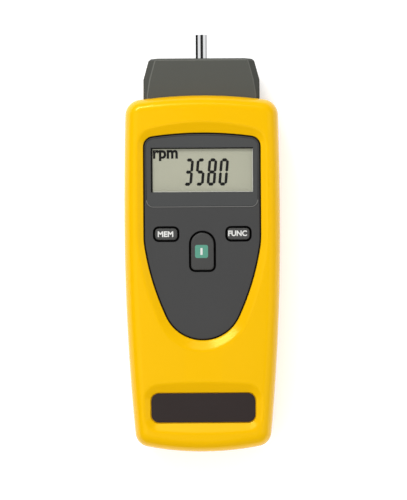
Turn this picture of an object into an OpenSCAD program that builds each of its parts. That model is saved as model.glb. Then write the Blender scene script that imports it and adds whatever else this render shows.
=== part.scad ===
// Hand-held laser tachometer with its contact adapter plugged in.
// It lies on its back: +Z is the front face, +Y points along the case to the spindle's tip,
// and the origin is under the middle of the whole length, on the surface that it lies on.

/* [Case] */
// Width of the case at its widest
case_w = 60; // [58:0.5:66]
// Length of the case, without the adapter
case_l = 136.5; // [134:0.5:145]
// Depth of the case, back to front
case_d = 28; // [27.5:0.25:31]
// Wall of the moulded case
wall = 2; // [1.8:0.1:2.4]
// Height of the parting plane, which is also the spindle's height
parting_z = 13; // [12.5:0.25:13.5]
// How far the crowned front falls from its middle to its sides
crown = 2; // [1:0.1:2.5]
// Width of the rounding round the front face
front_edge_w = 5; // [3.5:0.25:5.4]
// Depth of the rounding round the front face
front_edge_h = 6; // [4.5:0.25:6.5]
// Radius of the rounding round the back
back_edge_r = 3; // [2:0.25:3.5]

/* [Front panel] */
// Width of the panel's opening in the case
panel_w = 44; // [43:0.25:45]
// Length of the panel's opening
panel_l = 78.3; // [76:0.1:80]
// From the top of the case to the top of the panel
panel_drop = 15; // [14.5:0.25:17]
// From the crown of the case down to the panel's face
panel_sink = 2.2; // [1.8:0.1:2.6]
// Thickness of the panel
panel_t = 2; // [1.8:0.1:2.4]
// Thickness of the ledge that the panel sits on
ledge_t = 1.8; // [1.5:0.1:2]
// Run of the sloping wall round a recess, for each millimetre that it rises
slope_run = 2; // [1.2:0.1:2.2]

/* [Display] */
// Width of the aperture over the display
view_w = 39; // [37:0.5:39.5]
// Height of the aperture over the display
view_h = 17; // [16:0.2:17.6]
// From the panel's top to the middle of the display
view_drop = 13.8; // [13.4:0.1:14.4]
// Length of the clear window, from the panel's top
window_l = 28; // [27.5:0.25:29]
// Thickness of the clear window
window_t = 1.2; // [0.8:0.1:1.3]
// Border of the panel round the window
window_border = 0.7; // [0.5:0.1:1]
// Height of the display's glass
glass_h = 20; // [19.5:0.25:20.5]
// Thickness of the display's glass
glass_t = 2.2; // [1.8:0.1:2.4]
// Thickness of the foam gasket on the glass
gasket_t = 0.6; // [0.4:0.1:0.8]

/* [Keys] */
// Width of the memory and function keys
side_key_w = 8.5; // [8:0.1:9]
// Height of the memory and function keys
side_key_h = 4.4; // [4:0.1:5]
// Distance of the memory and function keys from the middle
side_key_x = 13.75; // [13.25:0.25:14.25]
// From the panel's top to the middle of the memory and function keys
side_key_drop = 38.2; // [37.6:0.1:39]
// Width of the start key
start_key_w = 8.7; // [8.2:0.1:9.2]
// Length of the start key
start_key_l = 14.2; // [13.5:0.1:15]
// From the panel's top to the top of the start key
start_key_drop = 37.7; // [37.2:0.1:38.6]
// Gap round a key
key_gap = 0.8; // [0.4:0.05:0.85]
// How far a key stands proud of the panel
key_proud = 0.4; // [0.1:0.05:0.6]
// Travel of a key
key_travel = 0.6; // [0.4:0.05:0.7]

/* [Nameplate] */
// Width of the bare plate
plate_w = 39.5; // [37:0.5:40]
// Height of the bare plate
plate_h = 11; // [10.5:0.1:12]
// Thickness of the bare plate
plate_t = 0.8; // [0.6:0.1:1]
// From the bottom of the case to the middle of the plate
plate_rise = 17.2; // [16.8:0.1:18]

/* [Battery bay] */
// Diameter of a cell
cell_d = 14.2; // [13.5:0.1:14.3]
// Length of a cell, with its button
cell_l = 50.5; // [49.2:0.1:51]
// Length of a contact spring, fitted
spring_l = 4.6; // [4.2:0.1:5.2]
// Wire of a contact spring
spring_wire = 0.8; // [0.6:0.05:0.9]
// Thickness of the cover
cover_t = 1.85; // [1.6:0.05:1.9]
// Height of the cover's end lip
cover_lip_h = 6; // [5:0.25:7]

/* [Contact adapter] */
// Width of the adapter
adapter_w = 44.5; // [43.5:0.1:45.5]
// Depth of the adapter
adapter_d = 19; // [18.4:0.1:19.4]
// How far the adapter stands out of the case
adapter_out = 14; // [13.5:0.25:16]
// Depth of the socket in the case
socket_depth = 11; // [10:0.25:11.5]
// Length of the tapered nose of the adapter
adapter_taper_l = 8; // [6:0.25:9]
// How far each side leans in over that length
adapter_taper_in = 2.2; // [1.5:0.1:2.6]
// Chamfer along the adapter's long edges, where it plugs in
plug_chamfer = 1.8; // [1.4:0.1:2.2]
// Chamfer along the adapter's long edges, over its tapered nose
nose_chamfer = 2.8; // [2.2:0.1:3.2]

/* [Spindle] */
// Diameter of the spindle's nose, which takes the contact tips
nose_d = 6; // [5.6:0.1:6.3]
// Length of the nose that stands out of the adapter
nose_out = 10; // [8:0.25:12]
// Diameter of the spindle in its bearings
spindle_d = 5; // [4.6:0.1:5.2]
// Outer diameter of a ball bearing
bearing_d = 13; // [12.6:0.1:13.4]
// Width of a ball bearing
bearing_w = 4; // [3.6:0.1:4.2]
// Diameter of the rotor disc that the light reads
rotor_d = 14.6; // [14:0.1:15]

/* [Optics] */
// Distance of the laser and of the sensor from the middle
beam_x = 5.2; // [5:0.1:5.6]
// Diameter of the laser's barrel
laser_d = 6.5; // [6:0.1:6.6]
// Diameter of the collecting lens
lens_d = 7; // [6.4:0.1:7.2]

/* [Hidden] */
$fn = 48;

// Clearances: a seat that is glued or pressed, a piece that slides, the gap round the panel
seat_gap = 0.1;
slide_gap = 0.15;
panel_gap = 0.4;
// Overlap of shapes that are joined or cut
bite = 0.5;
far = 200;

// Colours of the mouldings and metals
yellow = [0.97, 0.76, 0.02];
charcoal = [0.30, 0.30, 0.30];
head_grey = [0.36, 0.36, 0.34];
black = [0.08, 0.08, 0.09];
steel = [0.75, 0.76, 0.78];
brass = [0.80, 0.65, 0.30];
board_green = [0.10, 0.36, 0.20];

// Places along the case
overall_l = case_l + adapter_out + nose_out;
y_bottom = -overall_l / 2;
y_top = y_bottom + case_l;
y_adapter = y_top + adapter_out;
y_tip = y_adapter + nose_out;
y_panel = y_top - panel_drop;
y_view = y_panel - view_drop;
y_side_keys = y_panel - side_key_drop;
y_start_key = y_panel - start_key_drop - start_key_l / 2;
y_plate = y_bottom + plate_rise;
floor_t = 2;
y_socket = y_top - socket_depth;
y_inside = y_socket - floor_t;

// Heights, from the back of the case
z_panel = case_d - panel_sink;
z_seat = z_panel - panel_t;
z_ceiling = z_seat - ledge_t;
z_glass = z_seat - gasket_t;
board_t = 1.6;
strip_h = 2.4;
ledge_w = 1.3;
glass_side_gap = 0.4;
glass_w = panel_w - 2 * ledge_w - 2 * glass_side_gap;
z_board = z_glass - glass_t - strip_h;
z_board_under = z_board - board_t;
axis_z = parting_z;

// Round outlines
// An arc is [centre, radius, first angle, last angle, steps, 1 if it starts where the one before ends].
function along(a, d, share) =
    let (n = max(2, round(a[4] * share)))
    [for (i = [a[5] : n]) let (t = a[2] + (a[3] - a[2]) * i / n) a[0] + (a[1] + d) * [cos(t), sin(t)]];

// The right half of an outline, bottom to top, and the whole of it, grown by d
function right_half(arcs, d, share) = [for (a = arcs) each along(a, d, share)];
function outline(arcs, d = 0, share = 1) =
    let (half = right_half(arcs, d, share), n = len(half))
    concat(half, [for (i = [n - 1 : -1 : 0]) if (half[i].x > 0.001) [-half[i].x, half[i].y]]);

// Where two circles cross, on the side of larger x
function crossing(a, ra, b, rb) =
    let (d = norm(b - a), u = (b - a) / d,
         t = (d * d + ra * ra - rb * rb) / (2 * d), h = sqrt(ra * ra - t * t),
         p = a + u * t + h * [-u.y, u.x], q = a + u * t - h * [-u.y, u.x])
    p.x > q.x ? p : q;
function angle_of(v) = atan2(v.y, v.x);

// The case: a bowed top and bottom, round corners, and sides that bulge at bulge_y and taper to the bottom
top_r = 186;
bottom_r = 116;
top_corner_r = 6.4;
bottom_corner_r = 5.8;
side_low_r = 860;
side_high_r = 1480;
bulge_y = y_bottom + 0.644 * case_l;
top_c = [0, y_top - top_r];
bottom_c = [0, y_bottom + bottom_r];
side_low_c = [case_w / 2 - side_low_r, bulge_y];
side_high_c = [case_w / 2 - side_high_r, bulge_y];
low_corner = crossing(bottom_c, bottom_r - bottom_corner_r, side_low_c, side_low_r - bottom_corner_r);
high_corner = crossing(top_c, top_r - top_corner_r, side_high_c, side_high_r - top_corner_r);
case_arcs = [
    [bottom_c, bottom_r, -90, angle_of(low_corner - bottom_c), 5, 0],
    [low_corner, bottom_corner_r, angle_of(low_corner - bottom_c), angle_of(low_corner - side_low_c), 8, 1],
    [side_low_c, side_low_r, angle_of(low_corner - side_low_c), 0, 7, 1],
    [side_high_c, side_high_r, 0, angle_of(high_corner - side_high_c), 3, 1],
    [high_corner, top_corner_r, angle_of(high_corner - side_high_c), angle_of(high_corner - top_c), 8, 1],
    [top_c, top_r, angle_of(high_corner - top_c), 90, 5, 1]
];

// The panel: a bowed top, straight sides, and flanks that run in to a round bottom
panel_top_r = 136;
panel_corner_r = 3.6;
panel_bottom_r = 15;
panel_knee_r = 28;
bottom_turn = 65;
flank_turn = 81;
flank_r = (panel_w / 2 - panel_bottom_r * sin(bottom_turn) - panel_knee_r * (1 - sin(flank_turn)))
    / (sin(flank_turn) - sin(bottom_turn));
panel_top_turn = asin((panel_w / 2 - panel_corner_r) / (panel_top_r - panel_corner_r));
function toward(turn) = [sin(turn), -cos(turn)];
panel_bottom_c = [0, y_panel - panel_l + panel_bottom_r];
flank_c = panel_bottom_c + (panel_bottom_r - flank_r) * toward(bottom_turn);
knee_c = flank_c + (flank_r - panel_knee_r) * toward(flank_turn);
panel_top_c = [0, y_panel - panel_top_r];
panel_corner_c = panel_top_c + (panel_top_r - panel_corner_r) * [sin(panel_top_turn), cos(panel_top_turn)];
panel_arcs = [
    [panel_bottom_c, panel_bottom_r, -90, bottom_turn - 90, 10, 0],
    [flank_c, flank_r, bottom_turn - 90, flank_turn - 90, 5, 1],
    [knee_c, panel_knee_r, flank_turn - 90, 0, 3, 1],
    [panel_corner_c, panel_corner_r, 0, 90 - panel_top_turn, 6, 0],
    [panel_top_c, panel_top_r, 90 - panel_top_turn, 90, 5, 1]
];

// A rectangle with four round corners, and a tablet with a round top, both about a middle point
function rect_arcs(w, h, r, middle) = [
    [middle + [w / 2 - r, r - h / 2], r, -90, 0, 5, 0],
    [middle + [w / 2 - r, h / 2 - r], r, 0, 90, 5, 0]
];
function tablet_arcs(w, h, r, middle) = [
    [middle + [w / 2 - r, r - h / 2], r, -90, 0, 5, 0],
    [middle + [0, h / 2 - w / 2], w / 2, 0, 90, 9, 0]
];
key_corner_r = 1.4;
start_corner_r = 1.6;
plate_corner_r = 2.8;
function side_key_arcs(side) =
    rect_arcs(side_key_w, side_key_h, key_corner_r, [side * side_key_x, y_side_keys]);
start_key_arcs = tablet_arcs(start_key_w, start_key_l, start_corner_r, [0, y_start_key]);
plate_arcs = rect_arcs(plate_w, plate_h, plate_corner_r, [0, y_plate]);

// An off-centre rectangle's outline, which has no mirror line at x = 0
function loose_outline(arcs, middle_x, d = 0) =
    let (half = right_half(arcs, d, 1), n = len(half))
    concat(half, [for (i = [n - 1 : -1 : 0]) [2 * middle_x - half[i].x, half[i].y]]);

// Solids
function flat_ring(points, z) = [for (p = points) [p.x, p.y, z]];

// A closed skin over a stack of rings. Its top is flat, or a strip that joins each point to its mirror.
module loft(rings, mirrored_top = false) {
    n = len(rings[0]);
    last = (len(rings) - 1) * n;
    sides = [for (k = [0 : len(rings) - 2], i = [0 : n - 1])
        [k * n + i, (k + 1) * n + i, (k + 1) * n + (i + 1) % n, k * n + (i + 1) % n]];
    bottom = [[for (i = [0 : n - 1]) i]];
    flat_top = [[for (i = [n - 1 : -1 : 0]) last + i]];
    strip = [for (i = [0 : n / 2 - 1])
        i == 0 ? [last + n - 1, last + 1, last]
        : i == n / 2 - 1 ? [last + i + 2, last + i + 1, last + i]
        : [last + n - i, last + n - i - 1, last + i + 1, last + i]];
    faces = concat(sides, bottom, mirrored_top ? strip : flat_top);
    polyhedron([for (r = rings) each r], faces, convexity = 6);
}

// Draws its children with their own Z along the spindle's axis, so that z there is y here.
module on_axis() {
    translate([0, 0, axis_z]) rotate([-90, 0, 0]) children();
}

module tube(y0, y1, outer, inner) {
    translate([0, 0, y0]) difference() {
        cylinder(h = y1 - y0, d = outer);
        translate([0, 0, -bite]) cylinder(h = y1 - y0 + 2 * bite, d = inner);
    }
}

// A box from its low corner to its high corner
module block(low, high) {
    translate(low) cube(high - low);
}

module both_sides() {
    children();
    mirror([1, 0, 0]) children();
}

// Case shells: the draft of their sides, and the slope between a side and the face, on the inside
draft = 0.2;
shoulder = 2;
edge_steps = 6;
squeezes = [0.75, 0.5, 0.25];
function crown_z(x) = case_d - crown * pow(2 * x / case_w, 2);

// The front half's outside: sides, a rounding, then the crown, squeezed to the middle line
module front_solid() {
    top_points = outline(case_arcs, -draft - front_edge_w);
    loft(concat(
        [flat_ring(outline(case_arcs), parting_z)],
        [for (k = [0 : edge_steps]) let (a = 90 * k / edge_steps)
            [for (p = outline(case_arcs, -draft - front_edge_w * (1 - cos(a))))
                [p.x, p.y, crown_z(p.x) - front_edge_h * (1 - sin(a))]]],
        [for (s = squeezes) [for (p = top_points) [p.x * s, p.y, crown_z(p.x * s)]]]
    ), mirrored_top = true);
}

// The back half's outside: a flat back, a rounding and the sides
module rear_solid() {
    loft(concat(
        [for (k = [0 : edge_steps]) let (a = 90 * k / edge_steps)
            flat_ring(outline(case_arcs, -draft - back_edge_r * (1 - sin(a))), back_edge_r * (1 - cos(a)))],
        [flat_ring(outline(case_arcs), parting_z)]
    ));
}

// A hollow from [height, inset] pairs, which ends at the socket's floor
module hollow(levels) {
    intersection() {
        loft([for (v = levels) flat_ring(outline(case_arcs, -v[1], 0.5), v[0])]);
        block([-far, -far, -far], [far, y_inside, far]);
    }
}

// A sunk seat with a straight wall to just over the face, then a slope that runs out through the crown
rim = 0.2;
module dish(arcs, z_floor, z_face) {
    over = case_d + bite - z_face - rim;
    loft([
        flat_ring(outline(arcs, panel_gap), z_floor),
        flat_ring(outline(arcs, panel_gap), z_face + rim),
        flat_ring(outline(arcs, panel_gap + over * slope_run), z_face + rim + over)
    ]);
}

// The adapter's section with its chamfer, leant in at the sides and thinned, and the socket that takes it
function adapter_section(c, inset = 0, thin = 0) =
    let (w = adapter_w / 2 - inset, h = adapter_d / 2 - thin)
    [[w, h - c], [w - c, h], [c - w, h], [-w, h - c], [-w, c - h], [c - w, -h], [w - c, -h], [w, c - h]];

module socket() {
    on_axis() translate([0, 0, y_socket]) linear_extrude(far)
        polygon(adapter_section(plug_chamfer, -slide_gap, -slide_gap));
}

// The optics' window in the socket's floor, and the light's two ways through
window_plate = [22, 1, 8.4];
beam_hole_d = 6;
module light_ways() {
    half_w = window_plate.x / 2 + seat_gap;
    half_h = window_plate.z / 2 + seat_gap;
    block([-half_w, y_socket - window_plate.y, axis_z - half_h], [half_w, y_socket + bite, axis_z + half_h]);
    both_sides() on_axis() translate([beam_x, 0, y_inside - bite])
        cylinder(h = floor_t + 2 * bite, d = beam_hole_d);
}

// Lip of the rear half, which locates in a rebate of the front half
lip_h = 1.5;
lip_t = 0.95;
lip_inset = wall - lip_t;

// Screws that hold the halves together
screw_d = 2.5;
screw_head_d = 4;
boss_d = 6;
rear_boss_d = 7;
upper_screw_x = 21.5;
upper_screw_drop = 33;
lower_screw_x = 21;
lower_screw_rise = 28.5;
upper_screw = [upper_screw_x, y_panel - upper_screw_drop];
lower_screw = [lower_screw_x, y_bottom + lower_screw_rise];
screw_head_z = 7;
screw_head_h = 1.8;
screw_l = 11;
screw_slot = [2.6, 0.6, 0.9];
screw_free = 0.4;
module at_case_screws() {
    for (p = [upper_screw, lower_screw], side = [-1, 1]) translate([side * p.x, p.y, 0]) children();
}

// Battery bay, along the lower half of the back
plate_contact_t = 0.4;
touch = 0.05;
bay_side_gap = 0.7;
bay_wall = 1.2;
bay_rise = 5.5;
cell_gap = 0.6;
cell_over_floor = 0.7;
cell_under_roof = 0.1;
bay_half_w = cell_d + bay_side_gap;
y_bay_low = y_bottom + bay_rise;
y_bay_high = y_bay_low + cell_l + spring_l + 2 * plate_contact_t + 2 * touch;
cell_x = (cell_d + cell_gap) / 2;
cell_z = wall + cell_over_floor + cell_d / 2;
z_bay_top = cell_z + cell_d / 2 + cell_under_roof;

// Board, from the bay's end to the socket's floor, with posts of the front half for its screws.
// The lower posts stand outside the panel's opening, at its edge.
board_bay_gap = 1.7;
board_rim = 1.6;
y_board_low = y_bay_high + bay_wall + board_bay_gap;
y_board_high = y_inside - bite;
board_post_d = 4.4;
board_screw_d = 1.8;
board_screw_head_d = 3.6;
board_screw_head_h = 1.2;
board_screw_l = 4.4;
post_clear = 0.1;
low_post_x = panel_w / 2 - ledge_w + board_screw_d / 2 + post_clear;
low_post_rise = 2.5;
high_post_x = 16;
high_post_drop = 1.7;
board_w = 2 * (low_post_x + board_rim);
board_posts = [[low_post_x, y_board_low + low_post_rise], [high_post_x, y_board_high - high_post_drop]];
module at_board_screws() {
    for (p = board_posts, side = [-1, 1]) translate([side * p.x, p.y, 0]) children();
}

module front_case() color(yellow) difference() {
    union() {
        difference() {
            front_solid();
            hollow([[parting_z - bite, wall], [z_ceiling - shoulder, wall + draft],
                    [z_ceiling, wall + shoulder]]);
            hollow([for (z = [parting_z - bite, parting_z + lip_h + slide_gap]) [z, lip_inset - slide_gap]]);
        }
        at_case_screws() translate([0, 0, parting_z + seat_gap])
            cylinder(h = z_ceiling + bite - parting_z - seat_gap, d = boss_d);
        at_board_screws() translate([0, 0, z_board])
            cylinder(h = z_ceiling + bite - z_board, d = board_post_d);
    }
    dish(panel_arcs, z_seat, z_panel);
    translate([0, 0, z_ceiling - bite]) linear_extrude(far)
        polygon(outline(panel_arcs, -ledge_w));
    dish(plate_arcs, z_panel - plate_t, z_panel);
    socket();
    light_ways();
    at_case_screws() cylinder(h = screw_head_z + screw_head_h + screw_l + bite, d = screw_d + seat_gap);
    at_board_screws() cylinder(h = z_board_under + board_screw_l + bite, d = board_screw_d + seat_gap);
}

// The cover slides on two rails that run in grooves of the back
cover_inset_z = 0.15;
cover_side = 1.5;
cover_half_w = bay_half_w + cover_side;
rail_w = 1;
rail_t = 0.8;
y_cover_high = y_bay_high + bay_wall;
z_cover_in = cover_inset_z + cover_t;
groove_low = z_cover_in - rail_t - slide_gap;
cover_lip_t = 2.7;
y_cover_lip = y_bottom + cover_lip_t;

module cover_opening() {
    w = cover_half_w + slide_gap;
    block([-w, -far, -bite], [w, y_cover_high + slide_gap, z_cover_in + slide_gap]);
    block([-w - rail_w, -far, groove_low], [w + rail_w, y_cover_high + slide_gap, z_cover_in + slide_gap]);
    block([-w, -far, -bite], [w, y_cover_lip + slide_gap, cover_lip_h + slide_gap]);
}

// The bay's walls and roof, and the ribs over the grooves
groove_roof = 1.6;
groove_side = 1.3;
module bay_walls() {
    rib_top = z_cover_in + groove_roof;
    rib_half_w = cover_half_w + rail_w + groove_side;
    difference() {
        union() {
            block([-bay_half_w - bay_wall, y_bay_low - bay_wall, wall - bite],
                  [bay_half_w + bay_wall, y_bay_high + bay_wall, z_bay_top + bay_wall]);
            block([-rib_half_w, y_bay_low - bay_wall, wall - bite],
                  [rib_half_w, y_bay_high + bay_wall, rib_top]);
        }
        block([-bay_half_w, y_bay_low, -far], [bay_half_w, y_bay_high, z_bay_top]);
    }
}

// Ribs that carry the optics' block
block_half_w = 11;
block_l = 13;
block_drop = 5.6;
block_under = axis_z - block_drop;
rib_t = 2;
rib_in = 4;
rib_x = block_half_w - rib_in;

module rear_case() color(yellow) difference() {
    union() {
        difference() {
            rear_solid();
            hollow([[wall, wall + shoulder], [wall + shoulder, wall + draft], [parting_z + bite, wall]]);
        }
        intersection() {
            translate([0, 0, parting_z - bite]) linear_extrude(bite + lip_h) difference() {
                polygon(outline(case_arcs, -lip_inset, 0.5));
                polygon(outline(case_arcs, -wall - draft / 4, 0.5));
            }
            block([-far, -far, 0], [far, y_inside - slide_gap, far]);
        }
        at_case_screws() cylinder(h = parting_z, d = rear_boss_d);
        bay_walls();
        both_sides() block([rib_x - rib_t / 2, y_inside - block_l, wall - bite],
                           [rib_x + rib_t / 2, y_inside + bite, block_under]);
    }
    cover_opening();
    socket();
    light_ways();
    at_case_screws() {
        translate([0, 0, -bite])
            cylinder(h = screw_head_z + screw_head_h + bite, d = screw_head_d + screw_free);
        cylinder(h = far, d = screw_d + screw_free);
    }
}

module case_screws() color(steel) at_case_screws() difference() {
    union() {
        translate([0, 0, screw_head_z]) cylinder(h = screw_head_h, d = screw_head_d);
        translate([0, 0, screw_head_z]) cylinder(h = screw_head_h + screw_l, d = screw_d);
    }
    for (turn = [0, 90]) rotate(turn)
        translate([-screw_slot.x / 2, -screw_slot.y / 2, screw_head_z - bite])
            cube([screw_slot.x, screw_slot.y, bite + screw_slot.z]);
}

// Front panel with its window, apertures and key holes
panel_edge = 0.3;
window_corner_r = 2.7;
module window_shape(grow) {
    low = y_panel - window_l - grow;
    half_w = panel_w / 2 - window_border + grow;
    r = window_corner_r;
    intersection() {
        polygon(outline(panel_arcs, -window_border + grow));
        union() {
            translate([-half_w, low + r]) square([2 * half_w, far]);
            translate([r - half_w, low]) square([2 * (half_w - r), r]);
            for (side = [-1, 1]) translate([side * (half_w - r), low + r]) circle(r);
        }
    }
}

module key_holes() {
    for (side = [-1, 1]) polygon(loose_outline(side_key_arcs(side), side * side_key_x, key_gap));
    polygon(outline(start_key_arcs, key_gap));
}

module front_panel() color(charcoal) difference() {
    loft([
        flat_ring(outline(panel_arcs), z_seat),
        flat_ring(outline(panel_arcs), z_panel - panel_edge),
        flat_ring(outline(panel_arcs, -panel_edge), z_panel)
    ]);
    translate([0, 0, z_panel - window_t]) linear_extrude(window_t + bite) window_shape(seat_gap);
    translate([-view_w / 2, y_view - view_h / 2, z_seat - bite]) cube([view_w, view_h, panel_t + 2 * bite]);
    translate([0, 0, z_seat - bite]) linear_extrude(panel_t + 2 * bite) key_holes();
}

module display_window() color([0.75, 0.80, 0.80, 0.4])
    translate([0, 0, z_panel - window_t]) linear_extrude(window_t) window_shape(0);

// Display, stacked from the panel down to the board
module about_view(z) {
    translate([0, y_view, z]) children();
}

module frame_of(outer, inner, h) {
    linear_extrude(h) difference() {
        square(outer, center = true);
        square(inner, center = true);
    }
}

gasket_back = 0.3;
module display_gasket() color(black)
    about_view(z_glass)
        frame_of([glass_w, glass_h], [view_w, view_h] + 2 * gasket_back * [1, 1], gasket_t);

// The cell is a back glass, which the gasket seals, and a front glass that stands up in the aperture
front_glass = [view_w - 2 * seat_gap, view_h - 2 * seat_gap, z_panel - window_t - seat_gap - z_glass];
module display_glass() color([0.68, 0.69, 0.61]) about_view(z_glass) {
    translate([-glass_w / 2, -glass_h / 2, -glass_t]) cube([glass_w, glass_h, glass_t]);
    translate([-front_glass.x / 2, -front_glass.y / 2, -bite])
        cube([front_glass.x, front_glass.y, bite + front_glass.z]);
}

frame_wall = 1.1;
module display_frame() color(charcoal) {
    inner = [glass_w + 2 * seat_gap, glass_h + 2 * seat_gap];
    about_view(z_board) frame_of(inner + 2 * frame_wall * [1, 1], inner, z_ceiling - z_board);
}

strip_t = 2;
strip_end = 3;
module contact_strips() color([0.85, 0.55, 0.60])
    for (side = [-1, 1]) about_view(z_board)
        translate([strip_end - glass_w / 2, side * (glass_h / 2 - strip_t) - strip_t / 2, 0])
            cube([glass_w - 2 * strip_end, strip_t, strip_h]);

// Board with notches for the case's bosses
notch_gap = 0.6;
module main_board() color(board_green) translate([0, 0, z_board_under]) difference() {
    linear_extrude(board_t) difference() {
        translate([-board_w / 2, y_board_low]) square([board_w, y_board_high - y_board_low]);
        for (side = [-1, 1]) {
            translate([side * upper_screw.x, upper_screw.y]) circle(d = boss_d + 2 * notch_gap);
            translate([side * board_w / 2, upper_screw.y])
                square([board_w - 2 * upper_screw.x, boss_d + 2 * notch_gap], center = true);
        }
    }
    at_board_screws() translate([0, 0, -bite])
        cylinder(h = board_t + 2 * bite, d = board_screw_d + screw_free);
}

module board_screws() color(steel) at_board_screws() {
    translate([0, 0, z_board_under - board_screw_head_h])
        cylinder(h = board_screw_head_h, d = board_screw_head_d);
    translate([0, 0, z_board_under - bite]) cylinder(h = bite + board_screw_l, d = board_screw_d);
}

// Parts soldered under the board: the processor, a driver, a crystal, a capacitor and a row of small chips
processor = [10, 10, 1.5];
processor_at = [-6, -14];
driver = [5, 6.2, 1.6];
driver_at = [9, -12];
crystal = [8, 3.6, 2.4];
crystal_at = [9, -21];
small_chip = [2, 1.25, 0.8];
small_chips = 5;
chip_row_at = [-13, -28];
chip_pitch = 5;
capacitor_d = 5;
capacitor_h = 5.5;
capacitor_at = [-15, -24];
module chip(at, size) {
    translate([at.x - size.x / 2, y_view + at.y - size.y / 2, z_board_under - size.z]) cube(size);
}

module board_components() color(black) {
    chip(processor_at, processor);
    chip(driver_at, driver);
    chip(crystal_at, crystal);
    for (i = [0 : small_chips - 1]) chip(chip_row_at + [chip_pitch * i, 0], small_chip);
    translate([capacitor_at.x, y_view + capacitor_at.y, z_board_under - capacitor_h])
        cylinder(h = capacitor_h, d = capacitor_d);
}

// Keys: a crowned cap in the panel's hole, a flange under the panel and a stem over its switch
flange_gap = 0.2;
flange_w = 0.8;
flange_t = 0.8;
switch_h = 0.8;
switch_w = 6;
plunger_h = 0.3;
plunger_d = 2.6;
stem_d = 3;
z_key = z_panel + key_proud;
z_flange = z_seat - flange_gap;
z_stem = z_board + switch_h + plunger_h + key_travel + touch;
cap_round = 0.5;
start_stem_shift = 1.5;
start_stem_y = y_start_key + start_stem_shift;

module key(cap, flange, stem_at) {
    loft([
        flat_ring(cap[0], z_flange - bite),
        flat_ring(cap[0], z_key - cap_round),
        flat_ring(cap[1], z_key - cap_round * 0.3),
        flat_ring(cap[2], z_key)
    ]);
    translate([0, 0, z_flange - flange_t]) linear_extrude(flange_t) polygon(flange);
    translate([stem_at.x, stem_at.y, z_stem]) cylinder(h = z_flange - z_stem - flange_t / 2, d = stem_d);
}

cap_insets = [0, -cap_round * 0.3, -cap_round];
module side_key(side) {
    arcs = side_key_arcs(side);
    x = side * side_key_x;
    caps = [for (d = cap_insets) loose_outline(arcs, x, d)];
    key(caps, loose_outline(arcs, x, key_gap + flange_w), [x, y_side_keys]);
}

module memory_key() color([0.36, 0.36, 0.36]) side_key(-1);
module function_key() color([0.36, 0.36, 0.36]) side_key(1);
module start_key() color([0.31, 0.31, 0.31]) {
    caps = [for (d = cap_insets) outline(start_key_arcs, d)];
    key(caps, outline(start_key_arcs, key_gap + flange_w), [0, start_stem_y]);
}

module key_switches() color(steel)
    for (p = [[-side_key_x, y_side_keys], [side_key_x, y_side_keys], [0, start_stem_y]])
        translate([p.x, p.y, z_board]) {
            translate([-switch_w / 2, -switch_w / 2, 0]) cube([switch_w, switch_w, switch_h]);
            cylinder(h = switch_h + plunger_h, d = plunger_d);
        }

module nameplate() color([0.22, 0.19, 0.17])
    translate([0, 0, z_panel - plate_t]) linear_extrude(plate_t) polygon(outline(plate_arcs));

// Optics, behind the socket's floor
barrel_l = 10;
barrel_in = 1;
barrel_y = y_inside - barrel_in - barrel_l;
lens_t = 2.4;
lens_in = 2;
module optics_block() color(black) difference() {
    block([-block_half_w, y_inside - block_l, block_under], [block_half_w, y_inside, z_board_under]);
    on_axis() {
        translate([beam_x, 0, y_inside - block_l - bite])
            cylinder(h = block_l + 2 * bite, d = laser_d + 2 * seat_gap);
        translate([-beam_x, 0, y_inside - lens_t - lens_in])
            cylinder(h = far, d = lens_d + 2 * seat_gap);
        translate([-beam_x, 0, y_inside - block_l - bite])
            cylinder(h = block_l, d = sensor_d + 2 * seat_gap);
    }
}

laser_lens_d = 4;
laser_lens_t = 1.4;
lens_lip = 0.5;
barrel_bore_d = laser_lens_d - 2 * lens_lip;
diode_d = 5.6;
diode_base_t = 1.2;
diode_in = 4;
diode_can_h = 1.8;
can_gap = 0.15;
diode_can_d = barrel_bore_d - 2 * can_gap;
lead_d = 0.5;
lead_l = 4;
lead_apart = 1.3;
module laser_barrel() color(brass) on_axis() translate([beam_x, 0, barrel_y]) difference() {
    cylinder(h = barrel_l, d = laser_d);
    translate([0, 0, -bite]) cylinder(h = barrel_l + 2 * bite, d = barrel_bore_d);
    translate([0, 0, barrel_l - laser_lens_t]) cylinder(h = barrel_l, d = laser_lens_d + seat_gap);
    translate([0, 0, -bite]) cylinder(h = bite + diode_in, d = diode_d + seat_gap);
}

module laser_lens() color([0.8, 0.6, 0.6, 0.5]) on_axis()
    translate([beam_x, 0, barrel_y + barrel_l - laser_lens_t])
        cylinder(h = laser_lens_t - 2 * seat_gap, d = laser_lens_d);

module laser_diode() color(steel) on_axis() translate([beam_x, 0, barrel_y]) {
    translate([0, 0, diode_in - diode_base_t]) cylinder(h = diode_base_t, d = diode_d);
    translate([0, 0, diode_in - bite]) cylinder(h = bite + diode_can_h, d = diode_can_d);
    for (i = [-1 : 1]) translate([lead_apart * i, 0, -lead_l])
        cylinder(h = lead_l + diode_in - diode_base_t / 2, d = lead_d);
}

sensor_d = 5.4;
sensor_l = 5;
sensor_in = 1;
module light_sensor() color(steel) on_axis() translate([-beam_x, 0, y_inside - block_l]) {
    translate([0, 0, sensor_in]) cylinder(h = sensor_l, d = sensor_d);
    for (side = [-1, 1]) translate([lead_apart * side, 0, -lead_l])
        cylinder(h = lead_l + sensor_in + bite, d = lead_d);
}

module sensor_lens() color([0.7, 0.8, 0.85, 0.5]) on_axis()
    translate([-beam_x, 0, y_inside - lens_t - lens_in])
    intersection() {
        cylinder(h = lens_t, d = lens_d);
        translate([0, 0, lens_t - lens_d]) sphere(d = 2 * lens_d);
    }

module optics_window() color([0.55, 0.10, 0.12, 0.6])
    block([-window_plate.x / 2, y_socket - window_plate.y, axis_z - window_plate.z / 2],
          [window_plate.x / 2, y_socket, axis_z + window_plate.z / 2]);

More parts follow.
